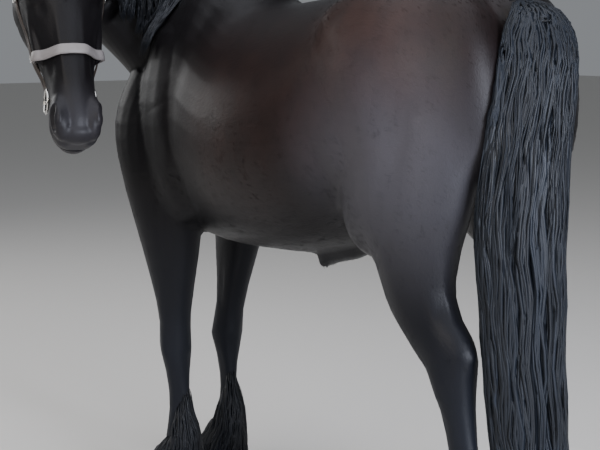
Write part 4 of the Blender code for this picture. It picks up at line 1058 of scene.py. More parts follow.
keep_largest(skin)
count = len(skin.data.polygons)
if count > SKIN_TRIANGLES:
    group = skin.vertex_groups.new(name="body")
    on_body = np.nonzero(away_from_head(points_of(skin)) > 0.5)[0]
    group.add(on_body.tolist(), 1.0, "REPLACE")
    apply_modifier(skin, "DECIMATE", ratio=SKIN_TRIANGLES / count,
                   vertex_group="body", vertex_group_factor=1.0)
    skin.vertex_groups.clear()
set_points(skin, points_of(skin) - normals_of(skin) * COAT_DEPTH)
skin.data.polygons.foreach_set("use_smooth", [True] * len(skin.data.polygons))
skin.data.materials.clear()
skin.data.materials.append(coat_material("black horsehair coat groomed flat, skin", True))
skin_tree = BVHTree.FromPolygons([v.co for v in skin.data.vertices],
                                 [tuple(f.vertices) for f in skin.data.polygons])
FLESH = ["torso", "neck", "head"]
FLESH += [f"{end}leg_{half}_{side}" for end in ("fore", "hind") for half in ("upper", "lower")
          for side in ("left", "right")]
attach(skin, "root")
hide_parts(*FLESH)
print("skin:", len(skin.data.polygons), "triangles")

# %% [markdown]
# ## Long hair in locks
# Hair hangs in locks that follow one another, overlap and gather towards their tips. A groom
# starts from a surface of guides: a grid of points across the hair and along it. Every lock finds
# its path between the guides, drifts towards the middle of its bunch, waves a little, and becomes
# a thin closed blade with a ridge. All locks are drawn from a fixed seed.

# %% Locks from a grid of guides
def on_grid(grid, across, along):
    """Points of a grid at shares across and along, from 0 to 1."""
    rows, columns = grid.shape[:2]
    a = np.clip(across, 0, 1) * (rows - 1)
    b = np.clip(along, 0, 1) * (columns - 1)
    i = np.minimum(a.astype(int), rows - 2)
    j = np.minimum(b.astype(int), columns - 2)
    fa = (a - i)[..., None]
    fb = (b - j)[..., None]
    near_row = grid[i, j] * (1 - fa) + grid[i + 1, j] * fa
    far_row = grid[i, j + 1] * (1 - fa) + grid[i + 1, j + 1] * fa
    return near_row * (1 - fb) + far_row * fb


def unit(vectors):
    """The same directions with a length of 1."""
    return vectors / np.maximum(np.linalg.norm(vectors, axis=-1, keepdims=True), 1e-9)


SHARES = np.array([0.0, 0.2, 0.4, 0.6, 0.8, 1.0])
LOCK_WIDTH = np.array([0.70, 1.00, 1.00, 0.86, 0.58, 0.08])     # of its width, from root to tip
LOCK_DEPTH = np.array([0.70, 1.00, 1.00, 0.86, 0.60, 0.14])
PATCH = 0.003           # size of a lock's patch on the OFBake map


def lock_mesh(name, paths, outs, wide, thick, tone, roots, finish):
    """One mesh of closed three-sided blades along paths, each with its own tone and its root's map place."""
    count, stops = paths.shape[:2]
    run = unit(np.gradient(paths, axis=1))
    across = unit(np.cross(run, outs))
    out = np.cross(across, run)
    share = np.linspace(0, 1, stops)
    half = (wide[:, None] / 2 * np.interp(share, SHARES, LOCK_WIDTH))[..., None]
    deep = (thick[:, None] * np.interp(share, SHARES, LOCK_DEPTH))[..., None]
    rings = np.stack([paths + across * half, paths + out * deep, paths - across * half], axis=2)
    verts = rings.reshape(-1, 3)
    base = np.arange(count)[:, None, None] * stops * 3 + np.arange(stops - 1)[None, :, None] * 3
    k = np.arange(3)[None, None, :]
    nxt = (k + 1) % 3
    quads = np.stack([base + k, base + 3 + k, base + 3 + nxt, base + nxt], axis=-1).reshape(-1, 4)
    first = (np.arange(count) * stops * 3)[:, None]
    last = first + (stops - 1) * 3
    caps = np.concatenate([first + np.array([0, 1, 2]), last + np.array([2, 1, 0])])
    loops = np.concatenate([quads.ravel(), caps.ravel()])
    sizes = np.concatenate([np.full(len(quads), 4), np.full(len(caps), 3)])
    starts = np.concatenate([[0], np.cumsum(sizes)[:-1]])
    mesh = bpy.data.meshes.new(name)
    mesh.vertices.add(len(verts))
    mesh.vertices.foreach_set("co", verts.astype(np.float32).ravel())
    mesh.loops.add(len(loops))
    mesh.loops.foreach_set("vertex_index", loops.astype(np.int32))
    mesh.polygons.add(len(sizes))
    mesh.polygons.foreach_set("loop_start", starts.astype(np.int32))
    mesh.polygons.foreach_set("use_smooth", np.ones(len(sizes), dtype=bool))
    mesh.update(calc_edges=True)
    side_place = np.tile(np.array([0.0, 0.5, 1.0]), count * stops)
    length_place = np.tile(np.repeat(share, 3), count)
    own = np.repeat(np.arange(count), stops * 3)
    shift = (own * 0.618) % 1.0
    strand = np.stack([shift + side_place * 0.02, length_place + shift], axis=1)
    patch = roots[own] + np.stack([side_place, length_place], axis=1) * PATCH
    mesh.uv_layers.new(name="OFBake").data.foreach_set("uv", patch[loops].astype(np.float32).ravel())
    mesh.uv_layers.new(name="strand").data.foreach_set("uv", strand[loops].astype(np.float32).ravel())
    mesh.attributes.new("tone", "FLOAT", "POINT").data.foreach_set("value", tone[own].astype(np.float32))
    obj = bpy.data.objects.new(name, mesh)
    bpy.context.scene.collection.objects.link(obj)
    mesh.materials.append(finish)
    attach(obj, "root")
    triangles = len(quads) * 2 + len(caps)
    print(name, "has", count, "locks,", triangles, "triangles")
    return obj


def grow(name, grid, outs, count, seed, start, end, depth, wide, thick, stops, bunches, pull, wave, tile,
         finish, closed=False, floor=0.012, sink=0.010, reach=None, crown=0.0, ragged=0.12):
    """Locks over a grid of guides. Start, end, depth and reach are ranges, and tile is the place on the map.

    Waves are given as their height and how many there are along the whole grid.
    """
    draw = np.random.default_rng(seed)
    count = count
    place = draw.random(count)
    first = start[0] + (start[1] - start[0]) * draw.random(count) + crown * np.abs(2 * place - 1) ** 1.5
    middles = np.sort(draw.random(bunches))
    ends = end[0] + (end[1] - end[0]) * draw.random(bunches)
    phases = draw.random(bunches) * math.tau
    apart = np.abs(place[:, None] - middles[None, :])
    if closed:
        apart = np.minimum(apart, 1 - apart)
    bunch = np.argmin(apart + draw.random((count, bunches)) * 0.6 / bunches, axis=1)
    last = np.maximum(ends[bunch] - ragged * draw.random(count) ** 2, first + 0.25)
    if reach:
        own_reach = reach[0] + (reach[1] - reach[0]) * draw.random(count)
        last = np.minimum(first + own_reach, 1.0 - 0.06 * draw.random(count))
    share = np.linspace(0, 1, stops)[None, :]
    drift = middles[bunch] - place
    if closed:
        drift = (drift + 0.5) % 1.0 - 0.5
    across = place[:, None] + drift[:, None] * pull * share ** 1.4
    across += (draw.random(count) - 0.5)[:, None] * 0.02 * share
    across = across % 1.0 if closed else np.clip(across, 0, 1)
    along = first[:, None] + (last - first)[:, None] * share
    paths = on_grid(grid, across, along)
    out = unit(on_grid(outs, across, along))
    deep = depth[0] + (depth[1] - depth[0]) * draw.random(count)
    deep = deep[:, None] * (1.0 + 0.25 * np.sin(phases[bunch][:, None] + share * 5.0))
    deep = deep + sink * np.clip(1 - share * (stops - 1) * 0.9, 0, 1)
    paths = paths - out * deep[..., None]
    aside = unit(np.cross(unit(np.gradient(paths, axis=1)), out))
    turns = wave[1] * (0.85 + 0.3 * draw.random(bunches))[bunch][:, None]
    rise = np.clip(share * 3, 0, 1)
    sway = wave[0] * np.sin(phases[bunch][:, None] + along * turns * math.tau) * rise
    own_phase = draw.random(count)[:, None] * math.tau
    sway = sway + 0.3 * wave[0] * np.sin(own_phase + along * turns * 0.6 * math.tau) * rise
    paths = paths + aside * sway[..., None] + out * (0.35 * sway * np.cos(phases[bunch][:, None]))[..., None]
    paths[..., 2] = np.maximum(paths[..., 2], floor + 0.02 * (1 - share) + thick * 1.5)
    widths = wide * (0.6 + 0.8 * draw.random(count))
    tones = 0.25 + 0.75 * (0.6 * draw.random(bunches)[bunch] + 0.4 * draw.random(count))
    roots = np.stack([tile[0] + tile[2] * place, tile[1] + tile[3] * first], axis=1)
    return lock_mesh(name, paths, out, widths, np.full(count, thick), tones, roots, finish)


# %% [markdown]
# ### The tail
# The tail's hair grows from the dock, spreads, and falls nearly to the ground in long waves. Its
# guides are rings round a path that hangs down and a little to the side.

# %% Tail
TAIL_PATH = [
    # X, Y, Z, half width, half depth
    (0.000, 0.735, 1.462, 0.018, 0.016),
    (0.006, 0.785, 1.442, 0.048, 0.034),
    (0.022, 0.818, 1.388, 0.080, 0.044),
    (0.044, 0.836, 1.290, 0.092, 0.050),
    (0.076, 0.843, 1.140, 0.098, 0.056),
    (0.098, 0.845, 0.950, 0.106, 0.060),
    (0.094, 0.852, 0.750, 0.100, 0.060),
    (0.088, 0.860, 0.550, 0.094, 0.058),
    (0.074, 0.876, 0.360, 0.088, 0.054),
    (0.054, 0.900, 0.200, 0.076, 0.046),
    (0.040, 0.918, 0.050, 0.050, 0.032),
]
TAIL_WIDE = Vector((-0.779, 0.627, 0)).normalized()     # the way the hanging hair spreads
TAIL_BACK = TAIL_WIDE.cross(Vector((0, 0, 1)))
TAIL_TILE = (0.02, 0.02, 0.20, 0.44)
TAIL_ROOM = 0.006       # between the tail's guides and the skin that they hang against
TAIL_COLUMNS = 32
TAIL_BOUND = 5          # rows of guides at the dock that stay where they are


def ray(start, direction):
    """Where a ray meets the skin, or None."""
    hit, _, _, _ = skin_tree.ray_cast(start, direction)
    return hit


def tail_guides():
    """Rings of guides, pushed out where the buttocks are in their way."""
    rows = between(TAIL_PATH, 4)
    grid = []
    outs = []
    for k in range(TAIL_COLUMNS + 1):
        angle = math.tau * k / TAIL_COLUMNS
        c = math.cos(angle)
        s = math.sin(angle)
        stops = []
        ways = []
        for i, (x, y, z, wide, thick) in enumerate(rows):
            place = at(x, y, z) + TAIL_WIDE * (c * wide) + TAIL_BACK * (s * thick)
            way = (TAIL_WIDE * (c / wide) + TAIL_BACK * (s / thick)).normalized()
            hit = ray(place + TAIL_BACK * 0.5, -TAIL_BACK)
            if i > TAIL_BOUND and hit and (hit - place).dot(TAIL_BACK) > -TAIL_ROOM:
                place = hit + TAIL_BACK * (TAIL_ROOM + 0.25 * thick * (1 + s))
                way = (way + TAIL_BACK).normalized()
            stops.append(place)
            ways.append(way)
        grid.append(stops)
        outs.append(ways)
    return np.array(grid), unit(np.array(outs))


# Both hair finishes have highlights painted along the strands.
long_hair = hair_material("long black horsehair, combed, with painted highlights", HAIR_PAINTED_HIGHLIGHT)
tail_hair = hair_material("long black horsehair of the tail, combed and lit", TAIL_PAINTED_HIGHLIGHT)
tail_grid, tail_outs = tail_guides()
tail = grow("tail_outer", tail_grid, tail_outs, count=2350, seed=21, start=(0.0, 0.66), end=(0.30, 1.0),
            depth=(0.000, 0.010), wide=0.0105, thick=0.0022, stops=13, bunches=60, pull=0.55,
            wave=(0.0065, 8.0), tile=TAIL_TILE, finish=tail_hair, closed=True, reach=(0.34, 0.55))
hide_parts("tail")
grow("tail_inner", tail_grid, tail_outs, count=2350, seed=22, start=(0.0, 0.55), end=(0.40, 0.98),
     depth=(0.010, 0.034), wide=0.013, thick=0.0030, stops=13, bunches=36, pull=0.5,
     wave=(0.0060, 7.0), tile=TAIL_TILE, finish=tail_hair, closed=True, reach=(0.40, 0.60))
grow("tail_top", tail_grid, tail_outs, count=1000, seed=23, start=(0.0, 0.05), end=(0.36, 0.62),
     depth=(-0.002, 0.006), wide=0.009, thick=0.0020, stops=13, bunches=44, pull=0.5,
     wave=(0.0050, 8.0), tile=TAIL_TILE, finish=tail_hair, closed=True, reach=(0.34, 0.55))


# %% [markdown]
# ### The mane
# The mane grows from the crest in a band a few centimetres wide and falls over the left side of
# the neck, inside its bend. Its guides start in the crest, go over it and drape down the skin.

# %% Mane
MANE_FROM = 0.09        # shares of the neck's length where the mane starts and ends
MANE_TO = 0.93
MANE_COLUMNS = 44
MANE_STEPS = 22
MANE_LIFT = 0.005       # of the hair over the skin
# Length in metres at shares of the way along the crest
MANE_LENGTH = [(0.0, 0.20), (0.2, 0.32), (0.45, 0.46), (0.75, 0.44), (1.0, 0.30)]


def fall(place, way, length, lift):
    """Path of hair that leaves the crest sideways, slides over the skin and falls free below it."""
    step = length / MANE_STEPS
    stops = [place]
    ways = []
    speed = way * 0.9 + Vector((0, 0, 0.1))
    for _ in range(MANE_STEPS):
        speed = (speed * 0.72 + Vector((0, 0, -0.28))).normalized()
        spot_there, facing, _, _ = skin_tree.find_nearest(place)
        toward = speed - facing * min(0.0, speed.dot(facing)) if (place - spot_there).length < 0.02 else speed
        place = place + toward.normalized() * step
        spot_there, facing, _, _ = skin_tree.find_nearest(place)
        if (place - spot_there).dot(facing) < lift:
            place = spot_there + facing * lift
        ways.append(facing)
        stops.append(place)
    ways.append(ways[-1])
    return stops, ways


def mane_guides():
    """Guides that start in the crest, go over it and drape down the neck."""
    grid = []
    outs = []
    marks = np.array(MANE_LENGTH)
    for i in range(MANE_COLUMNS):
        part = i / (MANE_COLUMNS - 1)
        share = MANE_FROM + (MANE_TO - MANE_FROM) * part
        here, left, _, up = neck_frame(share)
        crest = here + up * neck_section(share)[1]
        top = ray(crest + Vector((0, 0, 0.3)), Vector((0, 0, -1))) or crest
        length = float(np.interp(part, marks[:, 0], marks[:, 1]))
        stops, ways = fall(top + left * 0.004 + Vector((0, 0, 0.004)), left, length, MANE_LIFT)
        root = top - left * 0.026 - Vector((0, 0, 0.010))
        grid.append([root, top - left * 0.008 + Vector((0, 0, 0.002)), *stops])
        outs.append([up, up, *ways])
    smooth_grid = np.array(grid)
    for _ in range(4):
        smooth_grid[1:-1, 3:] = (smooth_grid[:-2, 3:] + 2 * smooth_grid[1:-1, 3:] + smooth_grid[2:, 3:]) / 4
    return smooth_grid, unit(np.array(outs))


MANE_TILE = (0.26, 0.02, 0.44, 0.20)
mane_grid, mane_outs = mane_guides()
grow("mane_outer", mane_grid, mane_outs, count=2500, seed=31, start=(0.0, 0.06), end=(0.70, 1.0),
     depth=(-0.022, -0.006), wide=0.009, thick=0.0020, stops=12, bunches=44, pull=0.55,
     wave=(0.0050, 4.0), tile=MANE_TILE, finish=long_hair)
grow("mane_inner", mane_grid, mane_outs, count=1800, seed=32, start=(0.0, 0.06), end=(0.60, 0.96),
     depth=(-0.008, 0.001), wide=0.012, thick=0.0026, stops=11, bunches=34, pull=0.4,
     wave=(0.0045, 3.0), tile=MANE_TILE, finish=long_hair)


# %% Forelock
FORELOCK_COLUMNS = 14
FORELOCK_STEPS = 12
FORELOCK_LENGTH = 0.33      # in the middle of the forehead


def forelock_guides():
    """Guides that fan out from the poll and lie on the forehead."""
    grid = []
    outs = []
    for i in range(FORELOCK_COLUMNS):
        side = i / (FORELOCK_COLUMNS - 1) * 2 - 1
        length = FORELOCK_LENGTH - 0.10 * abs(side)
        stops = []
        ways = []
        for k in range(FORELOCK_STEPS):
            part = k / (FORELOCK_STEPS - 1)
            left = side * (0.016 + 0.034 * part)
            place = head_at(left, 0.0, -0.020 + length * part)
            hit = ray(place + FACE_OUT * 0.3, -FACE_OUT)
            stops.append((hit or place) + FACE_OUT * (0.004 + 0.006 * math.sin(math.pi * part)))
            ways.append(FACE_OUT + HEAD_LEFT * (side * 0.3))
        grid.append(stops)
        outs.append(ways)
    return np.array(grid), unit(np.array(outs))


FORELOCK_TILE = (0.72, 0.02, 0.10, 0.20)
forelock_grid, forelock_outs = forelock_guides()
grow("forelock", forelock_grid, forelock_outs, count=900, seed=41, start=(0.0, 0.12), end=(0.55, 1.0),
     depth=(-0.012, 0.0), wide=0.007, thick=0.0018, stops=9, bunches=14, pull=0.75,
     wave=(0.0035, 2.4), tile=FORELOCK_TILE, finish=long_hair)


# %% [markdown]
# ### The feathers
# Feathers are the long hair of a Friesian's lower legs. They leave the back of the cannon and the
# fetlock and fall over the heels and the sides of the hoof. Their guides fan out round the leg.

# %% Feathers
FEATHER = [
    # Height, half width, depth to the front and to the back
    (0.460, 0.034, 0.034, 0.043), (0.400, 0.034, 0.035, 0.044), (0.330, 0.034, 0.037, 0.047),
    (0.250, 0.039, 0.041, 0.058), (0.190, 0.050, 0.048, 0.080), (0.110, 0.070, 0.066, 0.104),
    (0.050, 0.082, 0.080, 0.114), (0.014, 0.090, 0.090, 0.118)]
FEATHER_COLUMNS = 25
FEATHER_STEPS = 14
FEATHER_FOOT = 0.016        # height at which the feathers end


def feather_guides(name, top, spread):
    """Guides from the back of the leg, fanned out to each side by a spread in degrees."""
    stations, yaw, side = LEGS[name]
    across, ahead = leg_ways(yaw, side)
    grid = []
    outs = []
    for i in range(FEATHER_COLUMNS):
        angle = math.radians(spread * (i / (FEATHER_COLUMNS - 1) * 2 - 1))
        c = math.cos(angle)
        s = math.sin(angle)
        stops = []
        ways = []
        for k in range(FEATHER_STEPS):
            z = top + (FEATHER_FOOT - top) * k / (FEATHER_STEPS - 1)
            x, y, _, inner_half, inner_fore, inner_aft = crossing(stations, max(z, 0.080))
            _, half, fore, aft = crossing(FEATHER, z, 0)
            blend = min(1.0, k / 5)
            outer = fore if c < 0 else aft
            inner = inner_fore if c < 0 else inner_aft
            reach_across = inner_half * 0.9 * (1 - blend) + half * blend
            reach_back = inner * 0.9 * (1 - blend) + outer * blend
            stops.append(at(x, y, z) + across * (s * reach_across) - ahead * (c * reach_back))
            ways.append(across * (s / half) - ahead * (c / outer))
        grid.append(stops)
        outs.append(ways)
    return np.array(grid), unit(np.array(outs))


for number, name in enumerate(LEGS):
    tile = (0.26 + 0.18 * number, 0.26, 0.16, 0.20)
    upper = feather_guides(name, 0.37, 80)
    lower = feather_guides(name, 0.240, 172)
    grow(f"feather_back_{name}", *upper, count=900, seed=51 + number, start=(0.0, 0.45), end=(0.80, 0.98),
         depth=(-0.003, 0.008), wide=0.0065, thick=0.0016, stops=8, bunches=22, pull=0.6,
         wave=(0.0040, 3.0), tile=tile, finish=long_hair, crown=0.30, ragged=0.3)
    grow(f"feather_{name}", *lower, count=1300, seed=61 + number, start=(0.0, 0.22), end=(0.86, 1.0),
         depth=(-0.002, 0.010), wide=0.0070, thick=0.0018, stops=8, bunches=30, pull=0.7,
         wave=(0.0050, 2.0), tile=tile, finish=long_hair, crown=0.35, ragged=0.25)

# %% [markdown]
# ### The short coat
# The body's own hair lies flat and is far too fine to model hair by hair, so the skin's bump draws
# it, and tufts of a few millimetres' lift break the outline on every side. They follow the lie of a
# real coat: back and down over the trunk, down the neck and legs, and towards the nose on the face.

# %% Lie of the coat
TUFTS = 26000
TUFT_EDGE = 0.12      # how far a tuft's own edges show in its shading, beside the skin's facing
TUFT_PIECES = 4
TUFT_LIFT = 0.0007      # height of a tuft's tip over the skin
TUFT_WIDTH = 0.0030
TUFT_DEPTH = 0.0004
TUFT_LENGTH = (0.012, 0.008)        # the shortest, and how much longer the longest is
BODY_BEND = 0.16        # radius of the body's curve that a tuft follows
MUZZLE_BARE = 0.13      # radii without tufts round the muzzle and the eyes
EYE_BARE = 0.036


def lie_of_coat(points):
    """The way that the coat's hair points at each place, before it is laid along the skin."""
    body = unit(np.tile(np.array([0.0, 0.80, -0.60]), (len(points), 1)))
    legs = np.tile(np.array([0.0, 0.12, -1.0]), (len(points), 1))
    low = np.clip((0.95 - points[:, 2]) / 0.25, 0, 1)[:, None]
    way = body * (1 - low) + legs * low
    shares = np.linspace(0.0, 0.94, 24)
    frames = [neck_frame(share) for share in shares]
    middles = np.array([f[0] for f in frames])
    runs = np.array([f[2] for f in frames])
    apart = np.linalg.norm(points[:, None, :] - middles[None, :, :], axis=2)
    nearest = np.argmin(apart, axis=1)
    neck = -runs[nearest] + np.array([0.0, 0.0, -0.35])
    on_neck_now = np.clip((shares[nearest] - 0.10) / 0.25, 0, 1)[:, None]
    on_neck_now = on_neck_now * np.clip((0.40 - apart.min(axis=1)) / 0.08, 0, 1)[:, None]
    way = way * (1 - on_neck_now) + neck * on_neck_now
    face = (1 - away_from_head(points))[:, None]
    return unit(way * (1 - face) + np.array(FACE_DOWN) * face)


def map_place(points):
    """Place on the coat's map: an unwrap of trunk, neck, head and legs, each round its own axis."""
    place = np.empty((len(points), 2))
    around = np.arctan2(points[:, 2] - 1.15, points[:, 0] + MIDDLE.x) / math.tau + 0.5
    place[:, 0] = 0.02 + 0.46 * around
    place[:, 1] = 0.52 + 0.46 * np.clip((points[:, 1] + 0.95) / 1.90, 0, 1)
    head = away_from_head(points) < 0.5
    local = (points[head] - np.array(POLL)) @ np.array(HEAD_TURN)
    place[head, 0] = 0.52 + 0.22 * (np.arctan2(local[:, 1] + 0.09, local[:, 0]) / math.tau + 0.5)
    place[head, 1] = 0.52 + 0.46 * np.clip(local[:, 2] / 0.75 + 0.1, 0, 1)
    for number, name in enumerate(LEGS):
        x, y, z, *_ = crossing(LEGS[name][0], 0.60)
        axis = np.array(at(x, y, z))
        leg = (points[:, 2] < 0.80) & (np.hypot(points[:, 0] - axis[0], points[:, 1] - axis[1]) < 0.20)
        place[leg, 0] = 0.76 + 0.11 * (number % 2) + 0.10 * (
            np.arctan2(points[leg, 1] - axis[1], points[leg, 0] - axis[0]) / math.tau + 0.5)
        place[leg, 1] = 0.52 + 0.23 * (number // 2) + 0.22 * np.clip(points[leg, 2] / 0.80, 0, 1)
    return place


# %% Tufts of the short coat
def places_on_skin(draw, count):
    """Places spread evenly over the skin above the hooves, and the way that the skin faces there."""
    mesh = skin.data
    mesh.calc_loop_triangles()
    corners = np.empty(len(mesh.loop_triangles) * 3, dtype=np.int32)
    mesh.loop_triangles.foreach_get("vertices", corners)
    corners = corners.reshape(-1, 3)
    sides = points_of(skin)[corners]
    areas = np.linalg.norm(np.cross(sides[:, 1] - sides[:, 0], sides[:, 2] - sides[:, 0]), axis=1)
    areas *= np.where(sides[:, 0, 2] < 0.10, 0.0, 1.0)
    chosen = np.searchsorted(np.cumsum(areas) / areas.sum(), draw.random(count))
    weights = draw.dirichlet((1, 1, 1), count)[..., None]
    facing = unit((normals_of(skin)[corners[chosen]] * weights).sum(axis=1))
    return (sides[chosen] * weights).sum(axis=1), facing


def short_coat(number):
    """One piece of the coat: tufts of three rings that start in the skin and rise a little out of it."""
    draw = np.random.default_rng(91 + number)
    foot, facing = places_on_skin(draw, TUFTS // TUFT_PIECES // (1))
    way = lie_of_coat(foot)
    way = way - facing * (way * facing).sum(axis=1, keepdims=True)
    steady = np.linalg.norm(way, axis=1) > 0.2
    bare = np.linalg.norm(foot - np.array(MUZZLE_PLACE), axis=1) < MUZZLE_BARE
    for side in (1, -1):
        bare |= np.linalg.norm(foot - np.array(on_side((0.100, 0.010, 0.212), side)), axis=1) < EYE_BARE
    kept = steady & ~bare
    foot, facing, way = foot[kept], facing[kept], unit(way[kept])
    fine = np.where(away_from_head(foot) < 0.5, 0.55, 1.0) * np.where(foot[:, 2] < 0.55, 0.65, 1.0)
    count = len(foot)
    turn = (draw.random(count) - 0.5)[:, None] * 0.35
    way = unit(way + np.cross(facing, way) * turn)
    length = (TUFT_LENGTH[0] + TUFT_LENGTH[1] * draw.random(count)) * fine
    share = np.array([0.0, 0.45, 1.0])
    lift = np.array([-0.0012, 0.0003, TUFT_LIFT])
    paths = foot[:, None, :] + way[:, None, :] * (length[:, None] * share)[..., None]
    paths = paths + facing[:, None, :] * (lift[None, :] * fine[:, None])[..., None]
    paths -= facing[:, None, :] * (0.5 * (length[:, None] * share) ** 2 / BODY_BEND)[..., None]
    outs = np.repeat(facing[:, None, :], 3, 1)
    tufts = lock_mesh(f"short_coat_{number + 1}", paths, outs, TUFT_WIDTH * fine, TUFT_DEPTH * fine,
                      0.5 + 0.5 * draw.random(count), map_place(foot), coat_hair)
    shape = normals_of(tufts).reshape(count, -1, 3)
    soft = unit(facing[:, None, :] + shape * TUFT_EDGE)
    tufts.data.normals_split_custom_set_from_vertices(soft.reshape(-1, 3))


coat_hair = coat_material("black horsehair coat groomed flat, tufts", False)
for number in range(TUFT_PIECES):
    short_coat(number)

# %% [markdown]
# ## Eyes
# A horse's eye is a wet ball about 45 mm across, with a dark brown iris and a pupil that lies
# across it. Thick lids cover its rim. The ball starts as a UV sphere, whose front is drawn out a
# little for the cornea, and its own map says where the iris is.

# %% Eyeballs
EYE_GAZE = (0.86, 0.48, -0.12)      # left, out and down
EYE_BULGE = 0.0022      # how far the cornea stands out of the ball
IRIS_DARK = linear("#1B0E08")
IRIS_LIGHT = linear("#2C180E")
EYE_RIM = linear("#140E0C")
PUPIL = linear("#040405")


def eye_frame(side):
    """Middle of the eye, its gaze, and the ways across and up it."""
    middle = on_side(EYE_PLACE, side)
    gaze = (HEAD_LEFT * (side * EYE_GAZE[0]) + FACE_OUT * EYE_GAZE[1] + FACE_DOWN * EYE_GAZE[2]).normalized()
    level = (FACE_DOWN - gaze * gaze.dot(FACE_DOWN)).normalized()
    level = (level + gaze.cross(level) * (0.30 * side)).normalized()
    return middle, gaze, level, gaze.cross(level).normalized()


def eye_material():
    """Wet cornea over a dark brown iris. The wet film is what makes the eye look alive."""
    made, tree, shader = new_material("wet cornea over a brown iris", Roughness=0.04, Specular_IOR_Level=0.6)
    place = add_node(tree, "UVMap", "UV", {"uv_map": "eye"})
    oval_place = add_node(tree, "Mapping", "Vector", None, {"Vector": place, "Scale": (0.62, 1.35, 1.0)})
    pupil = add_node(tree, "VectorMath", "Value", {"operation": "LENGTH"}, {0: oval_place})
    middle = add_node(tree, "VectorMath", "Value", {"operation": "LENGTH"}, {0: place})
    fibres = add_node(tree, "TexNoise", "Fac", None, {"Vector": place, "Scale": 9.0, "Detail": 4.0})
    iris = add_node(tree, "Mix", "Result", COLOURS, {"Factor": fibres, "A": IRIS_DARK, "B": IRIS_LIGHT})
    edge = add_node(tree, "ValToRGB", "Color", None, {"Fac": middle}, [(0.60, NONE), (0.72, FULL)])
    ball_colour = add_node(tree, "Mix", "Result", COLOURS, {"Factor": edge, "A": iris, "B": EYE_RIM})
    hole = add_node(tree, "ValToRGB", "Color", None, {"Fac": pupil}, [(0.26, NONE), (0.32, FULL)])
    colour = add_node(tree, "Mix", "Result", COLOURS, {"Factor": hole, "A": PUPIL, "B": ball_colour})
    tree.links.new(colour, shader.inputs["Base Color"])
    return made


wet_eye = eye_material()


SIDES = {1: "left", -1: "right"}


def eyeball(side):
    """One eye, turned to its gaze, with its cornea drawn out and the iris's map."""
    middle, gaze, level, up = eye_frame(side)
    bpy.ops.object.select_all(action="DESELECT")
    bpy.ops.mesh.primitive_uv_sphere_add(segments=48, ring_count=32, radius=EYE_RADIUS, location=(0, 0, 0))
    eye = bpy.context.view_layer.objects.active
    eye.name = f"eyeball_{SIDES[side]}"
    points = points_of(eye)
    local = points.copy()
    front = np.clip((local[:, 2] / EYE_RADIUS - 0.70) / 0.30, 0, 1)
    local[:, 2] += EYE_BULGE * front ** 1.5
    turned = (local[:, :1] * np.array(level) + local[:, 1:2] * np.array(up)
              + local[:, 2:] * np.array(gaze))
    set_points(eye, turned + np.array(middle))
    mapped = eye.data.uv_layers.new(name="eye")
    corners = np.empty(len(eye.data.loops), dtype=np.int32)
    eye.data.loops.foreach_get("vertex_index", corners)
    flat = np.where(local[:, 2:] > 0, local[:, :2] / EYE_RADIUS, 1.5)
    mapped.data.foreach_set("uv", flat[corners].astype(np.float32).ravel())
    if (level.cross(up)).dot(gaze) < 0:
        face_outwards(eye)
    eye.data.polygons.foreach_set("use_smooth", [True] * len(eye.data.polygons))
    eye.data.materials.append(wet_eye)
    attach(eye, "root")
    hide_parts("eye_left" if side > 0 else "eye_right")


for side in (1, -1):
    eyeball(side)

# %% [markdown]
# ### Eyelids and lashes
# The lids are folds of skin that slide over the ball. They are lofted round it as one almond-shaped
# ring that sinks into the face, heavier above than below.

# %% Eyelids
skin_finish = skin.data.materials[0]
LID_STEPS = 56
LID_CORNER = 54.0       # degrees from the middle of the eye to the corner of the lids
LID_DROP = 19.0         # and how much less above and below
LID_DEPTH = 0.0034      # half the thickness of the lower lid
LID_HEAVIER = 0.0016    # and how much more the upper lid has
LASHES = 46


def finish_piece(obj, finish):
    """Material, slot and body of a finished piece."""
    obj.data.materials.clear()
    obj.data.materials.append(finish)
    obj.data.polygons.foreach_set("use_smooth", [True] * len(obj.data.polygons))
    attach(obj, "root")
    return obj


def ring_of(name, rings):
    """Closed ring of sections, such as a strap round the head."""
    sides = len(rings[0])
    verts = [p for ring in rings for p in ring]
    faces = []
    for i in range(len(rings)):
        for k in range(sides):
            a = i * sides + k
            b = i * sides + (k + 1) % sides
            step = ((i + 1) % len(rings) - i) * sides
            faces.append((a, b, b + step, a + step))
    obj = new_object(name, verts, faces)
    face_outwards(obj)
    return obj


def lid_ring(side):
    """Both lids of an eye as one ring of skin."""
    middle, gaze, level, up = eye_frame(side)
    if up.dot(FACE_OUT) < 0:
        up = -up
    rings = []
    for c, s in circle(LID_STEPS):
        open_by = math.radians(LID_CORNER - LID_DROP * abs(s) ** 1.2)
        around = level * c + up * s
        place = middle + (gaze * math.cos(open_by) + around * math.sin(open_by)) * (EYE_RADIUS * 1.10)
        outwards = (place - middle).normalized()
        slide = (around * math.cos(open_by) - gaze * math.sin(open_by)).normalized()
        deep = LID_DEPTH + (LID_HEAVIER if s > 0 else 0.0) * abs(s)
        rings.append([place + slide * (0.0110 * along + 0.0100)
                      + outwards * (deep * rise - 0.0008 - 0.0075 * max(0.0, along))
                      for along, rise in circle(12)])
    finish_piece(ring_of(f"lids_{SIDES[side]}", rings), skin_finish)


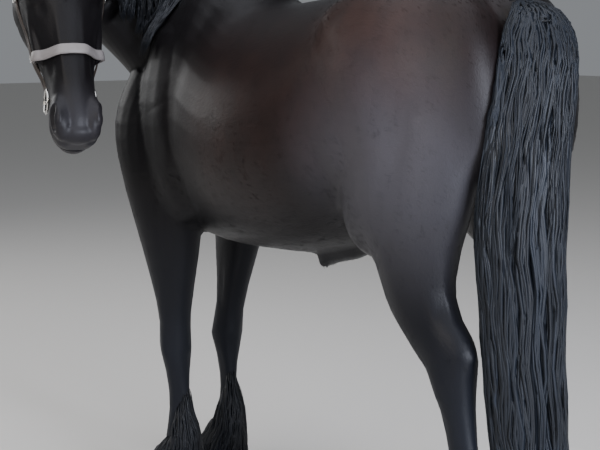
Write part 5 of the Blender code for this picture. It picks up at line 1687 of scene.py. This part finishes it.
def lashes(side, seed):
    """Lashes along the upper lid, pointing down and out."""
    draw = np.random.default_rng(seed)
    middle, gaze, level, up = eye_frame(side)
    if up.dot(FACE_OUT) < 0:
        up = -up
    angle = np.radians(25 + 130 * draw.random(LASHES))[:, None]
    around = np.cos(angle) * np.array(level) + np.sin(angle) * np.array(up)
    open_by = np.radians(LID_CORNER + 6 - LID_DROP * np.sin(angle) ** 1.2)
    reach = np.cos(open_by) * np.array(gaze) + np.sin(open_by) * around
    foot = np.array(middle) + reach * EYE_RADIUS * 1.16
    share = np.linspace(0, 1, 5)[None, :, None]
    way = unit(np.array(gaze) * 1.0 + around * 0.10 + np.array(FACE_DOWN) * 0.75)
    length = 0.006 + 0.004 * draw.random((LASHES, 1, 1))
    paths = foot[:, None, :] + way[:, None, :] * share * length
    paths = paths + (np.array(FACE_DOWN) - np.array(up)) * (0.004 * share ** 2)
    outs = np.repeat(np.repeat(np.array(up)[None, None, :], LASHES, 0), 5, 1)
    roots = np.stack([0.90 + 0.04 * draw.random(LASHES), np.full(LASHES, 0.02 + 0.05 * (side > 0))], axis=1)
    lock_mesh(f"lashes_{SIDES[side]}", paths, outs, np.full(LASHES, 0.0011), np.full(LASHES, 0.0007),
              np.full(LASHES, 0.3), roots, long_hair)


for side in (1, -1):
    lid_ring(side)
    lashes(side, 71 + side)

# %% [markdown]
# ## Ears
# An ear is a leaf of gristle rolled into a cup, with soft hair inside. The leaf is lofted, and a
# second, shorter leaf is cut out of its open side.

# %% Ears
EAR_ROWS = [
    # Share of the length, half width, half depth, lean to the open side
    (-0.14, 0.024, 0.024, 0.000),
    (0.00, 0.025, 0.022, 0.000),
    (0.14, 0.029, 0.022, 0.002),
    (0.34, 0.034, 0.020, 0.004),
    (0.58, 0.030, 0.016, 0.006),
    (0.80, 0.018, 0.010, 0.011),
    (0.95, 0.007, 0.005, 0.017),
    (1.00, 0.0015, 0.0015, 0.020),
]
EAR_HAIRS = 260


def ear_shell(side):
    """One ear, hollowed on its open side."""
    foot, axis, opening = ear_frame(side)
    across = axis.cross(opening).normalized()
    shell_rings = []
    hollow_rings = []
    for share, half, deep, lean in between(EAR_ROWS, 5):
        centre = foot + axis * (EAR_LENGTH * share) + opening * lean
        shell_rings.append(oval(centre, across, opening, half, deep, deep, 32))
        if 0.05 < share < 0.98:
            hollow_rings.append(oval(centre + opening * (deep * 0.80), across, opening,
                                     half * 0.84, deep * 1.25, deep * 1.45, 32))
    shell = tube_of(f"ear_shell_{SIDES[side]}", shell_rings)
    cutter = tube_of("cutter", hollow_rings)
    apply_modifier(shell, "BOOLEAN", operation="DIFFERENCE", object=cutter, solver="EXACT")
    bpy.data.objects.remove(cutter, do_unlink=True)
    apply_modifier(shell, "BEVEL", width=0.0008, segments=2, limit_method="ANGLE", angle_limit=0.8)
    finish_piece(shell, skin_finish)
    pick([shell])
    bpy.ops.object.shade_smooth_by_angle(angle=math.radians(50))
    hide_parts("ear_left" if side > 0 else "ear_right")


def ear_fluff(side, seed):
    """Soft hair that fills the cup of the ear and leans out over its edges."""
    draw = np.random.default_rng(seed)
    foot, axis, opening = ear_frame(side)
    across = axis.cross(opening).normalized()
    share = 0.05 + 0.62 * draw.random(EAR_HAIRS)
    edge = draw.random(EAR_HAIRS) * 2 - 1
    half = np.interp(share, [r[0] for r in EAR_ROWS], [r[1] for r in EAR_ROWS])
    lean = np.interp(share, [r[0] for r in EAR_ROWS], [r[3] for r in EAR_ROWS])
    start = (np.array(foot) + np.outer(share * EAR_LENGTH, np.array(axis)) + np.outer(lean, np.array(opening))
             + np.outer(edge * half * 0.80, np.array(across))
             - np.outer(0.008 * (1 - edge ** 2), np.array(opening)))
    stops = 6
    t = np.linspace(0, 1, stops)[None, :, None]
    way = unit(np.array(axis) * 0.75 + np.array(opening) * 0.45 - np.outer(edge, np.array(across)) * 0.55)
    length = (0.024 + 0.016 * draw.random(EAR_HAIRS))[:, None, None]
    paths = start[:, None, :] + way[:, None, :] * length * t + np.array(axis) * (length * 0.25 * t ** 2)
    outs = np.repeat(np.repeat(np.array(opening)[None, None, :], EAR_HAIRS, 0), stops, 1)
    roots = np.stack([0.90 + 0.04 * edge, 0.14 + 0.05 * share + 0.06 * (side > 0)], axis=1)
    lock_mesh(f"ear_hair_{SIDES[side]}", paths, outs, np.full(EAR_HAIRS, 0.0028),
              np.full(EAR_HAIRS, 0.0009), 0.3 + 0.3 * draw.random(EAR_HAIRS), roots, long_hair)


for side in (1, -1):
    ear_shell(side)
    ear_fluff(side, 81 + side)

# %% [markdown]
# ## Hooves
# The wall of a hoof grows down from the coronet as horn, a few millimetres each month, and keeps
# faint rings from it. The wall is lofted from the slanted coronet to the flat bearing edge.

# %% Hooves
HOOF_SLOPE = math.radians(22)      # fall of the coronet from toe to heel
HOOF_TOP = 0.080        # height of the coronet
HORN_RINGS = 11
HORN_RISE = 0.00025      # height of a growth ring
HORN_DARK = linear("#211D1A")
HORN_LIGHT = linear("#46403A")
HORN_GRAIN = linear("#15120F")


def horn_material():
    """Dark horn, rasped and grown in rings: dull, with lighter and darker bands along the rings."""
    made, tree, shader = new_material("dark hoof horn, grown in rings and rasped", Roughness=0.5)
    coords = add_node(tree, "TexCoord", "Object")
    fibres = add_node(tree, "Mapping", "Vector", None, {"Vector": coords, "Scale": (420.0, 420.0, 14.0)})
    grain = add_node(tree, "TexNoise", "Fac", None, {"Vector": fibres, "Scale": 1.0, "Detail": 3.0})
    bands = add_node(tree, "Mapping", "Vector", None, {"Vector": coords, "Scale": (3.0, 3.0, 160.0)})
    band = add_node(tree, "TexNoise", "Fac", None, {"Vector": bands, "Scale": 1.0})
    colour = add_node(tree, "Mix", "Result", COLOURS, {"Factor": band, "A": HORN_DARK, "B": HORN_LIGHT})
    dark = add_node(tree, "Math", "Value", TIMES, {0: grain, 1: 0.5})
    colour = add_node(tree, "Mix", "Result", COLOURS, {"Factor": dark, "A": colour, "B": HORN_GRAIN})
    tree.links.new(colour, shader.inputs["Base Color"])
    relief = add_node(tree, "Bump", "Normal", None, {"Height": grain, "Strength": 0.4, "Distance": 0.0006})
    tree.links.new(relief, shader.inputs["Normal"])
    return made


horn = horn_material()


def hoof(name):
    """The horn of one hoof, from the slanted coronet to the ground."""
    stations, yaw, side = LEGS[name]
    x, y, z, *_ = crossing(stations, HOOF_TOP)
    across, ahead = leg_ways(yaw, side)
    top = at(x, y, z)
    slope = math.tan(HOOF_SLOPE)
    rings = []
    steps = HORN_RINGS * 4
    for i in range(steps + 3):
        drop = min(1.0, max(0.0, (i - 1) / steps))
        flare = 0.0535 + 0.016 * drop - (0.006 if i == 0 else 0.0) - (0.0015 if i == steps + 2 else 0.0)
        flare += HORN_RISE * math.sin(math.tau * HORN_RINGS * drop) + (0.0012 if 0 < i < 4 else 0.0)
        centre = top + ahead * (0.030 * drop)
        ring = oval(Vector((centre.x, centre.y, 0)), across, ahead, flare, flare * 1.10, flare * 0.98, 48)
        for p in ring:
            p.z = (top.z + 0.002 + (p - centre).dot(ahead) * slope) * (1 - drop)
            if i == steps + 1:
                p.z = 0.0015
        rings.append(ring)
    finish_piece(tube_of(f"horn_{name}", rings), horn)
    pick([bpy.data.objects[f"horn_{name}"]])
    bpy.ops.object.shade_smooth_by_angle(angle=math.radians(50))
    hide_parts(f"hoof_{name}")


for name in LEGS:
    hoof(name)
print("hooves:", len(LEGS), "with", HORN_RINGS, "rings of growth each")

# %% [markdown]
# ## The bridle
# A headpiece lies behind the ears, a browband crosses the forehead, cheekpieces run down to the
# bit's rings, a throatlatch runs down behind each cheek into the fold of the throat, and a pale
# padded band goes round the nose. All straps are leather cut a few millimetres thick, so each is a
# rounded strip swept over the skin.

# %% Leather, padding and steel
LEATHER = linear("#17110E")
LEATHER_EDGE = linear("#2B1F18")
STITCH = linear("#6B5B4A")
STITCH_RUN = 0.004      # from one stitch to the next
PADDING = linear("#777271")
PADDING_WORN = linear("#5D5957")
STEEL = linear("#B9B7B3")


def leather_material():
    """Bridle leather, vegetable tanned and waxed: dark brown, fine pores, a soft polish."""
    made, tree, shader = new_material("dark bridle leather, tanned and waxed", Roughness=0.42)
    coords = add_node(tree, "TexCoord", "Object")
    pores = add_node(tree, "TexVoronoi", "Distance", None, {"Vector": coords, "Scale": 900.0})
    wear = add_node(tree, "TexNoise", "Fac", None, {"Vector": coords, "Scale": 40.0, "Detail": 4.0})
    colour = add_node(tree, "Mix", "Result", COLOURS, {"Factor": wear, "A": LEATHER, "B": LEATHER_EDGE})
    on_strap = add_node(tree, "UVMap", "UV", {"uv_map": "strap"})
    across = add_node(tree, "SeparateXYZ", "X", None, {"Vector": on_strap})
    along = add_node(tree, "SeparateXYZ", "Y", None, {"Vector": on_strap})
    apart = add_node(tree, "Math", "Value", {"operation": "SUBTRACT"}, {0: across, 1: 0.5})
    apart = add_node(tree, "Math", "Value", {"operation": "ABSOLUTE"}, {0: apart})
    row = add_node(tree, "ValToRGB", "Color", None, {"Fac": apart},
                   [(0.345, NONE), (0.355, FULL), (0.380, FULL), (0.390, NONE)])
    beat = add_node(tree, "Math", "Value", {"operation": "FRACT"}, {0: along})
    dash = add_node(tree, "ValToRGB", "Color", None, {"Fac": beat},
                    [(0.0, FULL), (0.62, FULL), (0.70, NONE)])
    stitches = add_node(tree, "Math", "Value", TIMES, {0: row, 1: dash})
    shown = add_node(tree, "Math", "Value", TIMES, {0: stitches, 1: 0.8})
    colour = add_node(tree, "Mix", "Result", COLOURS, {"Factor": shown, "A": colour, "B": STITCH})
    tree.links.new(colour, shader.inputs["Base Color"])
    relief = add_node(tree, "Bump", "Normal", None, {"Height": pores, "Strength": 0.25, "Distance": 0.0004})
    tree.links.new(relief, shader.inputs["Normal"])
    return made


def padding_material():
    """Pale grey coated leather over soft padding: matt, lightly creased."""
    made, tree, shader = new_material("pale grey padded leather, sewn", Roughness=0.5)
    coords = add_node(tree, "TexCoord", "Object")
    creases = add_node(tree, "TexNoise", "Fac", None, {"Vector": coords, "Scale": 120.0, "Detail": 5.0})
    smudges = add_node(tree, "TexNoise", "Fac", None, {"Vector": coords, "Scale": 30.0, "Detail": 3.0})
    colour = add_node(tree, "Mix", "Result", COLOURS, {"Factor": smudges, "A": PADDING, "B": PADDING_WORN})
    tree.links.new(colour, shader.inputs["Base Color"])
    relief = add_node(tree, "Bump", "Normal", None,
                      {"Height": creases, "Strength": 0.4, "Distance": 0.0010})
    tree.links.new(relief, shader.inputs["Normal"])
    return made


def steel_material():
    """Stainless steel, cast and polished, with fine scratches."""
    made, tree, shader = new_material("stainless steel, cast and polished", Metallic=1.0, Roughness=0.18)
    shader.inputs["Base Color"].default_value = STEEL
    coords = add_node(tree, "TexCoord", "Object")
    scratches = add_node(tree, "TexNoise", "Fac", None, {"Vector": coords, "Scale": 700.0, "Detail": 2.0})
    rough = add_node(tree, "MapRange", "Result", None,
                     {"Value": scratches, "From Min": 0.3, "From Max": 0.8, "To Min": 0.14, "To Max": 0.30})
    tree.links.new(rough, shader.inputs["Roughness"])
    return made


leather = leather_material()
padding = padding_material()
steel = steel_material()
print("stitches are", round(STITCH_RUN * 1000), "mm apart")


# %% Straps over the skin
def on_head(left, out, down, lift, core=None):
    """Place over the skin of the head, on the line from its axis, or a fixed core, through a listed place."""
    core = head_at(*core) if core else head_at(0, -0.085, down)
    way = head_at(left, out, down) - core
    way.normalize()
    hit, _, _, _ = skin_tree.ray_cast(core + way * 0.02, way, 0.25)
    return (hit or core + way * 0.1) + way * lift, way


def strip(name, stops, wide, thick, lift, finish, closed=False, steps=8, puff=0.5, core=None):
    """Strip with rounded edges, swept over stops on the head: left, out, down and extra lift."""
    rows = between([*stops, stops[0]], steps)[:-1] if closed else between(stops, steps)
    count = len(rows)
    places = []
    ways = []
    for row in rows:
        place, way = on_head(row[0], row[1], row[2], lift + row[3], core)
        places.append(place)
        ways.append(way)
    for _ in range(4):
        for i in range(count):
            if closed or 0 < i < count - 1:
                before = places[i - 1]
                after = places[(i + 1) % count]
                mid = places[i] * 0.5 + (before + after) * 0.25
                places[i] += ways[i] * max(0.0, (mid - places[i]).dot(ways[i]))
    rings = []
    mapped = []
    run_length = 0.0
    for i in range(count):
        before = places[i - 1] if closed or i else places[i]
        after = places[(i + 1) % count] if closed or i < count - 1 else places[i]
        run = (after - before).normalized()
        across = run.cross(ways[i]).normalized()
        out = across.cross(run).normalized()
        if out.dot(ways[i]) < 0:
            out.negate()
        if i:
            run_length += (places[i] - places[i - 1]).length
        ring = []
        for c, s in circle(12):
            flat = bulge(c, puff) * wide / 2
            tall = bulge(s, puff) * thick / 2 + thick / 2
            ring.append(places[i] + across * flat + out * tall)
            mapped.append((0.5 + 0.5 * bulge(c, puff), run_length / STITCH_RUN))
        rings.append(ring)
    obj = ring_of(name, rings) if closed else tube_of(name, rings)
    layer = obj.data.uv_layers.new(name="strap")
    for loop in obj.data.loops:
        if loop.vertex_index < len(mapped):
            layer.data[loop.index].uv = mapped[loop.vertex_index]
    return finish_piece(obj, finish)


def band_stops(front, sides, back, half=0.10):
    """Stops of a band round the head, by how far down it is in front, at the sides and behind."""
    stops = []
    for c, s in circle(16):
        down = sides + (front - sides) * max(s, 0.0) + (back - sides) * max(-s, 0.0)
        stops.append((c * half, -0.085 + s * half, down, 0.0))
    return stops


CHEEK_STRAP = [(0.100, -0.052, 0.070, 0.004), (0.104, -0.052, 0.100, 0.001), (0.112, -0.055, 0.165, 0.0),
               (0.116, -0.062, 0.240, 0.0), (0.108, -0.068, 0.310, 0.0), (0.088, -0.070, 0.375, 0.011),
               (0.079, -0.070, 0.425, 0.011), (0.072, -0.068, 0.475, 0.002), (0.069, -0.066, 0.505, 0.001)]

def stops_on(stops, side):
    """Stops of a strap on the left of the head, or their mirror images on the right."""
    return [(side * left, out, down, lift) for left, out, down, lift in stops]


noseband = strip("nose_band", band_stops(0.432, 0.402, 0.380), 0.030, 0.009, 0.0010, padding,
                 closed=True, steps=5, puff=0.7)
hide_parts("noseband")
for side, label in SIDES.items():
    cheek = strip(f"cheek_strap_{label}", stops_on(CHEEK_STRAP, side), 0.017, 0.0035, 0.0012,
                  leather)
    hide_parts(f"cheekpiece_{label}")
ARCH_CORE = (0.0, -0.050, 0.060)      # middle of the arch that the top strap makes behind the ears
ARCH_STOPS = 11
arch = []
for k in range(ARCH_STOPS):
    angle = math.radians(-12 + 204 * k / (ARCH_STOPS - 1))
    arch.append((0.1 * math.cos(angle), ARCH_CORE[1], ARCH_CORE[2] - 0.1 * math.sin(angle),
                 0.002 + 0.004 * max(0.0, math.sin(angle)) ** 4))
head_strap = strip("head_strap", arch, 0.024, 0.004, 0.002, leather, steps=5, core=ARCH_CORE)
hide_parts("headpiece")

# Half of the brow strap, from the left side to the middle, and the throatlatch down to the fold of the throat
BROW_STRAP = [(0.092, -0.050, 0.074, 0.005), (0.074, 0.010, 0.078, 0.003), (0.040, 0.046, 0.084, 0.002),
              (0.000, 0.060, 0.088, 0.002)]
THROAT_STRAP = [(0.094, -0.060, 0.075, 0.001), (0.100, -0.105, 0.102, 0.001), (0.094, -0.155, 0.124, 0.001),
                (0.084, -0.188, 0.137, 0.000), (0.074, -0.205, 0.144, -0.008)]


def both_halves(stops):
    """Stops from the left side to the middle, carried on to the right side."""
    return stops + stops_on(stops[:-1], -1)[::-1]


brow_strap = strip("brow_strap", both_halves(BROW_STRAP), 0.020, 0.004, 0.002, leather)
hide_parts("browband")
for side, label in SIDES.items():
    strip(f"throatlatch_{label}", stops_on(THROAT_STRAP, side), 0.013, 0.003, 0.0015, leather)


# %% Bit, rings and buckles
BIT_RING = (0.072, -0.064, 0.540)       # middle of a ring
RING_RADIUS = 0.032
RING_WIRE = 0.0036      # radii of the steel rods
BAR_WIRE = 0.0060
BUCKLE_WIRE = 0.0013
PIN_WIRE = 0.0010


def wire(name, places, radius, closed, sides=10):
    """A round steel rod along a path."""
    rings = []
    count = len(places)
    for i, place in enumerate(places):
        before = places[i - 1] if closed or i else place
        after = places[(i + 1) % count] if closed or i < count - 1 else place
        run = (after - before).normalized()
        first = run.cross(Vector((0.3, 0.5, 0.8))).normalized()
        second = run.cross(first)
        rings.append([place + first * (c * radius) + second * (s * radius) for c, s in circle(sides)])
    made = ring_of(name, rings) if closed else tube_of(name, rings)
    return finish_piece(made, steel)


def buckle(name, stop, wide, tall):
    """Small square frame with a pin, lying on a strap."""
    place, way = on_head(*stop)
    run = (FACE_DOWN - way * way.dot(FACE_DOWN)).normalized()
    across = run.cross(way).normalized()
    corners = [place + across * (bulge(c, 0.4) * wide / 2) + run * (bulge(s, 0.4) * tall / 2)
               for c, s in circle(24)]
    wire(name, corners, BUCKLE_WIRE, True, 8)
    pin = [place - run * (tall / 2) + way * 0.0004, place + way * 0.0012,
           place + run * (tall / 2) + way * 0.0014]
    wire(name + "_pin", pin, PIN_WIRE, False, 8)


for side, label in SIDES.items():
    centre, _ = on_head(side * BIT_RING[0], BIT_RING[1], BIT_RING[2], 0.008)
    loop_places = [centre + (FACE_OUT * s + FACE_DOWN * c) * RING_RADIUS + HEAD_LEFT * (side * 0.002 * c)
                   for c, s in circle(40)]
    ring = wire(f"loose_ring_{label}", loop_places, RING_WIRE, True)
    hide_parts(f"bit_ring_{label}")
    mouth = head_at(side * 0.044, -0.066, 0.548)
    start = centre + FACE_DOWN * 0.004 + HEAD_LEFT * side * 0.004
    wire(f"bit_bar_{label}", [start, centre * 0.5 + mouth * 0.5, mouth], BAR_WIRE, False)
    buckle(f"cheek_buckle_{label}", (side * 0.115, -0.058, 0.215, 0.0062), 0.026, 0.020)
    buckle(f"nose_fitting_{label}", (side * 0.086, -0.070, 0.400, 0.0160), 0.024, 0.022)

# %% [markdown]
# ## Floor and light
# The horse stands on a plain pale floor in a studio. Large soft lamps stand in for the open sky.

# %% Floor and lamps
def soft_lamp(name, place, aim, size, power, colour):
    """A large lamp that shines at a place."""
    data = bpy.data.lights.new(name, "AREA")
    data.shape = "RECTANGLE"
    data.size = size[0]
    data.size_y = size[1]
    data.energy = power
    data.color = linear(colour)[:3]
    lamp = bpy.data.objects.new(name, data)
    bpy.context.scene.collection.objects.link(lamp)
    way = Vector(aim) - Vector(place)
    lamp.matrix_world = Matrix.Translation(place) @ way.to_track_quat("-Z", "Y").to_matrix().to_4x4()


floor = new_object("floor", [(-30, -30, 0), (30, -30, 0), (30, 30, 0), (-30, 30, 0)], [(0, 1, 2, 3)])
floor_made, _, floor_shader = new_material("matt pale studio floor, painted", Roughness=0.9)
floor_shader.inputs["Base Color"].default_value = linear("#C9C6C1")
floor.data.materials.append(floor_made)

soft_lamp("sky_lamp", (1.0, 0.5, 5.0), (0, 0, 1.0), (6, 6), 330, "#F3F6FF")
soft_lamp("key_lamp", (5.5, 1.5, 3.2), (0, 0.1, 1.1), (3.0, 3.0), 170, "#FFF6EA")
soft_lamp("back_lamp", (0.6, 6.2, 2.2), (0.1, 0.5, 0.95), (2.4, 2.4), 640, "#EAF0FF")
soft_lamp("front_lamp", (1.5, -6.0, 2.8), (0.2, 0, 1.1), (3.0, 2.5), 100, "#FFFFFF")
world = bpy.data.worlds.new("studio")
world.use_nodes = True
world.node_tree.nodes["Background"].inputs["Color"].default_value = linear("#C7CBD0")
world.node_tree.nodes["Background"].inputs["Strength"].default_value = 0.40
bpy.context.scene.world = world
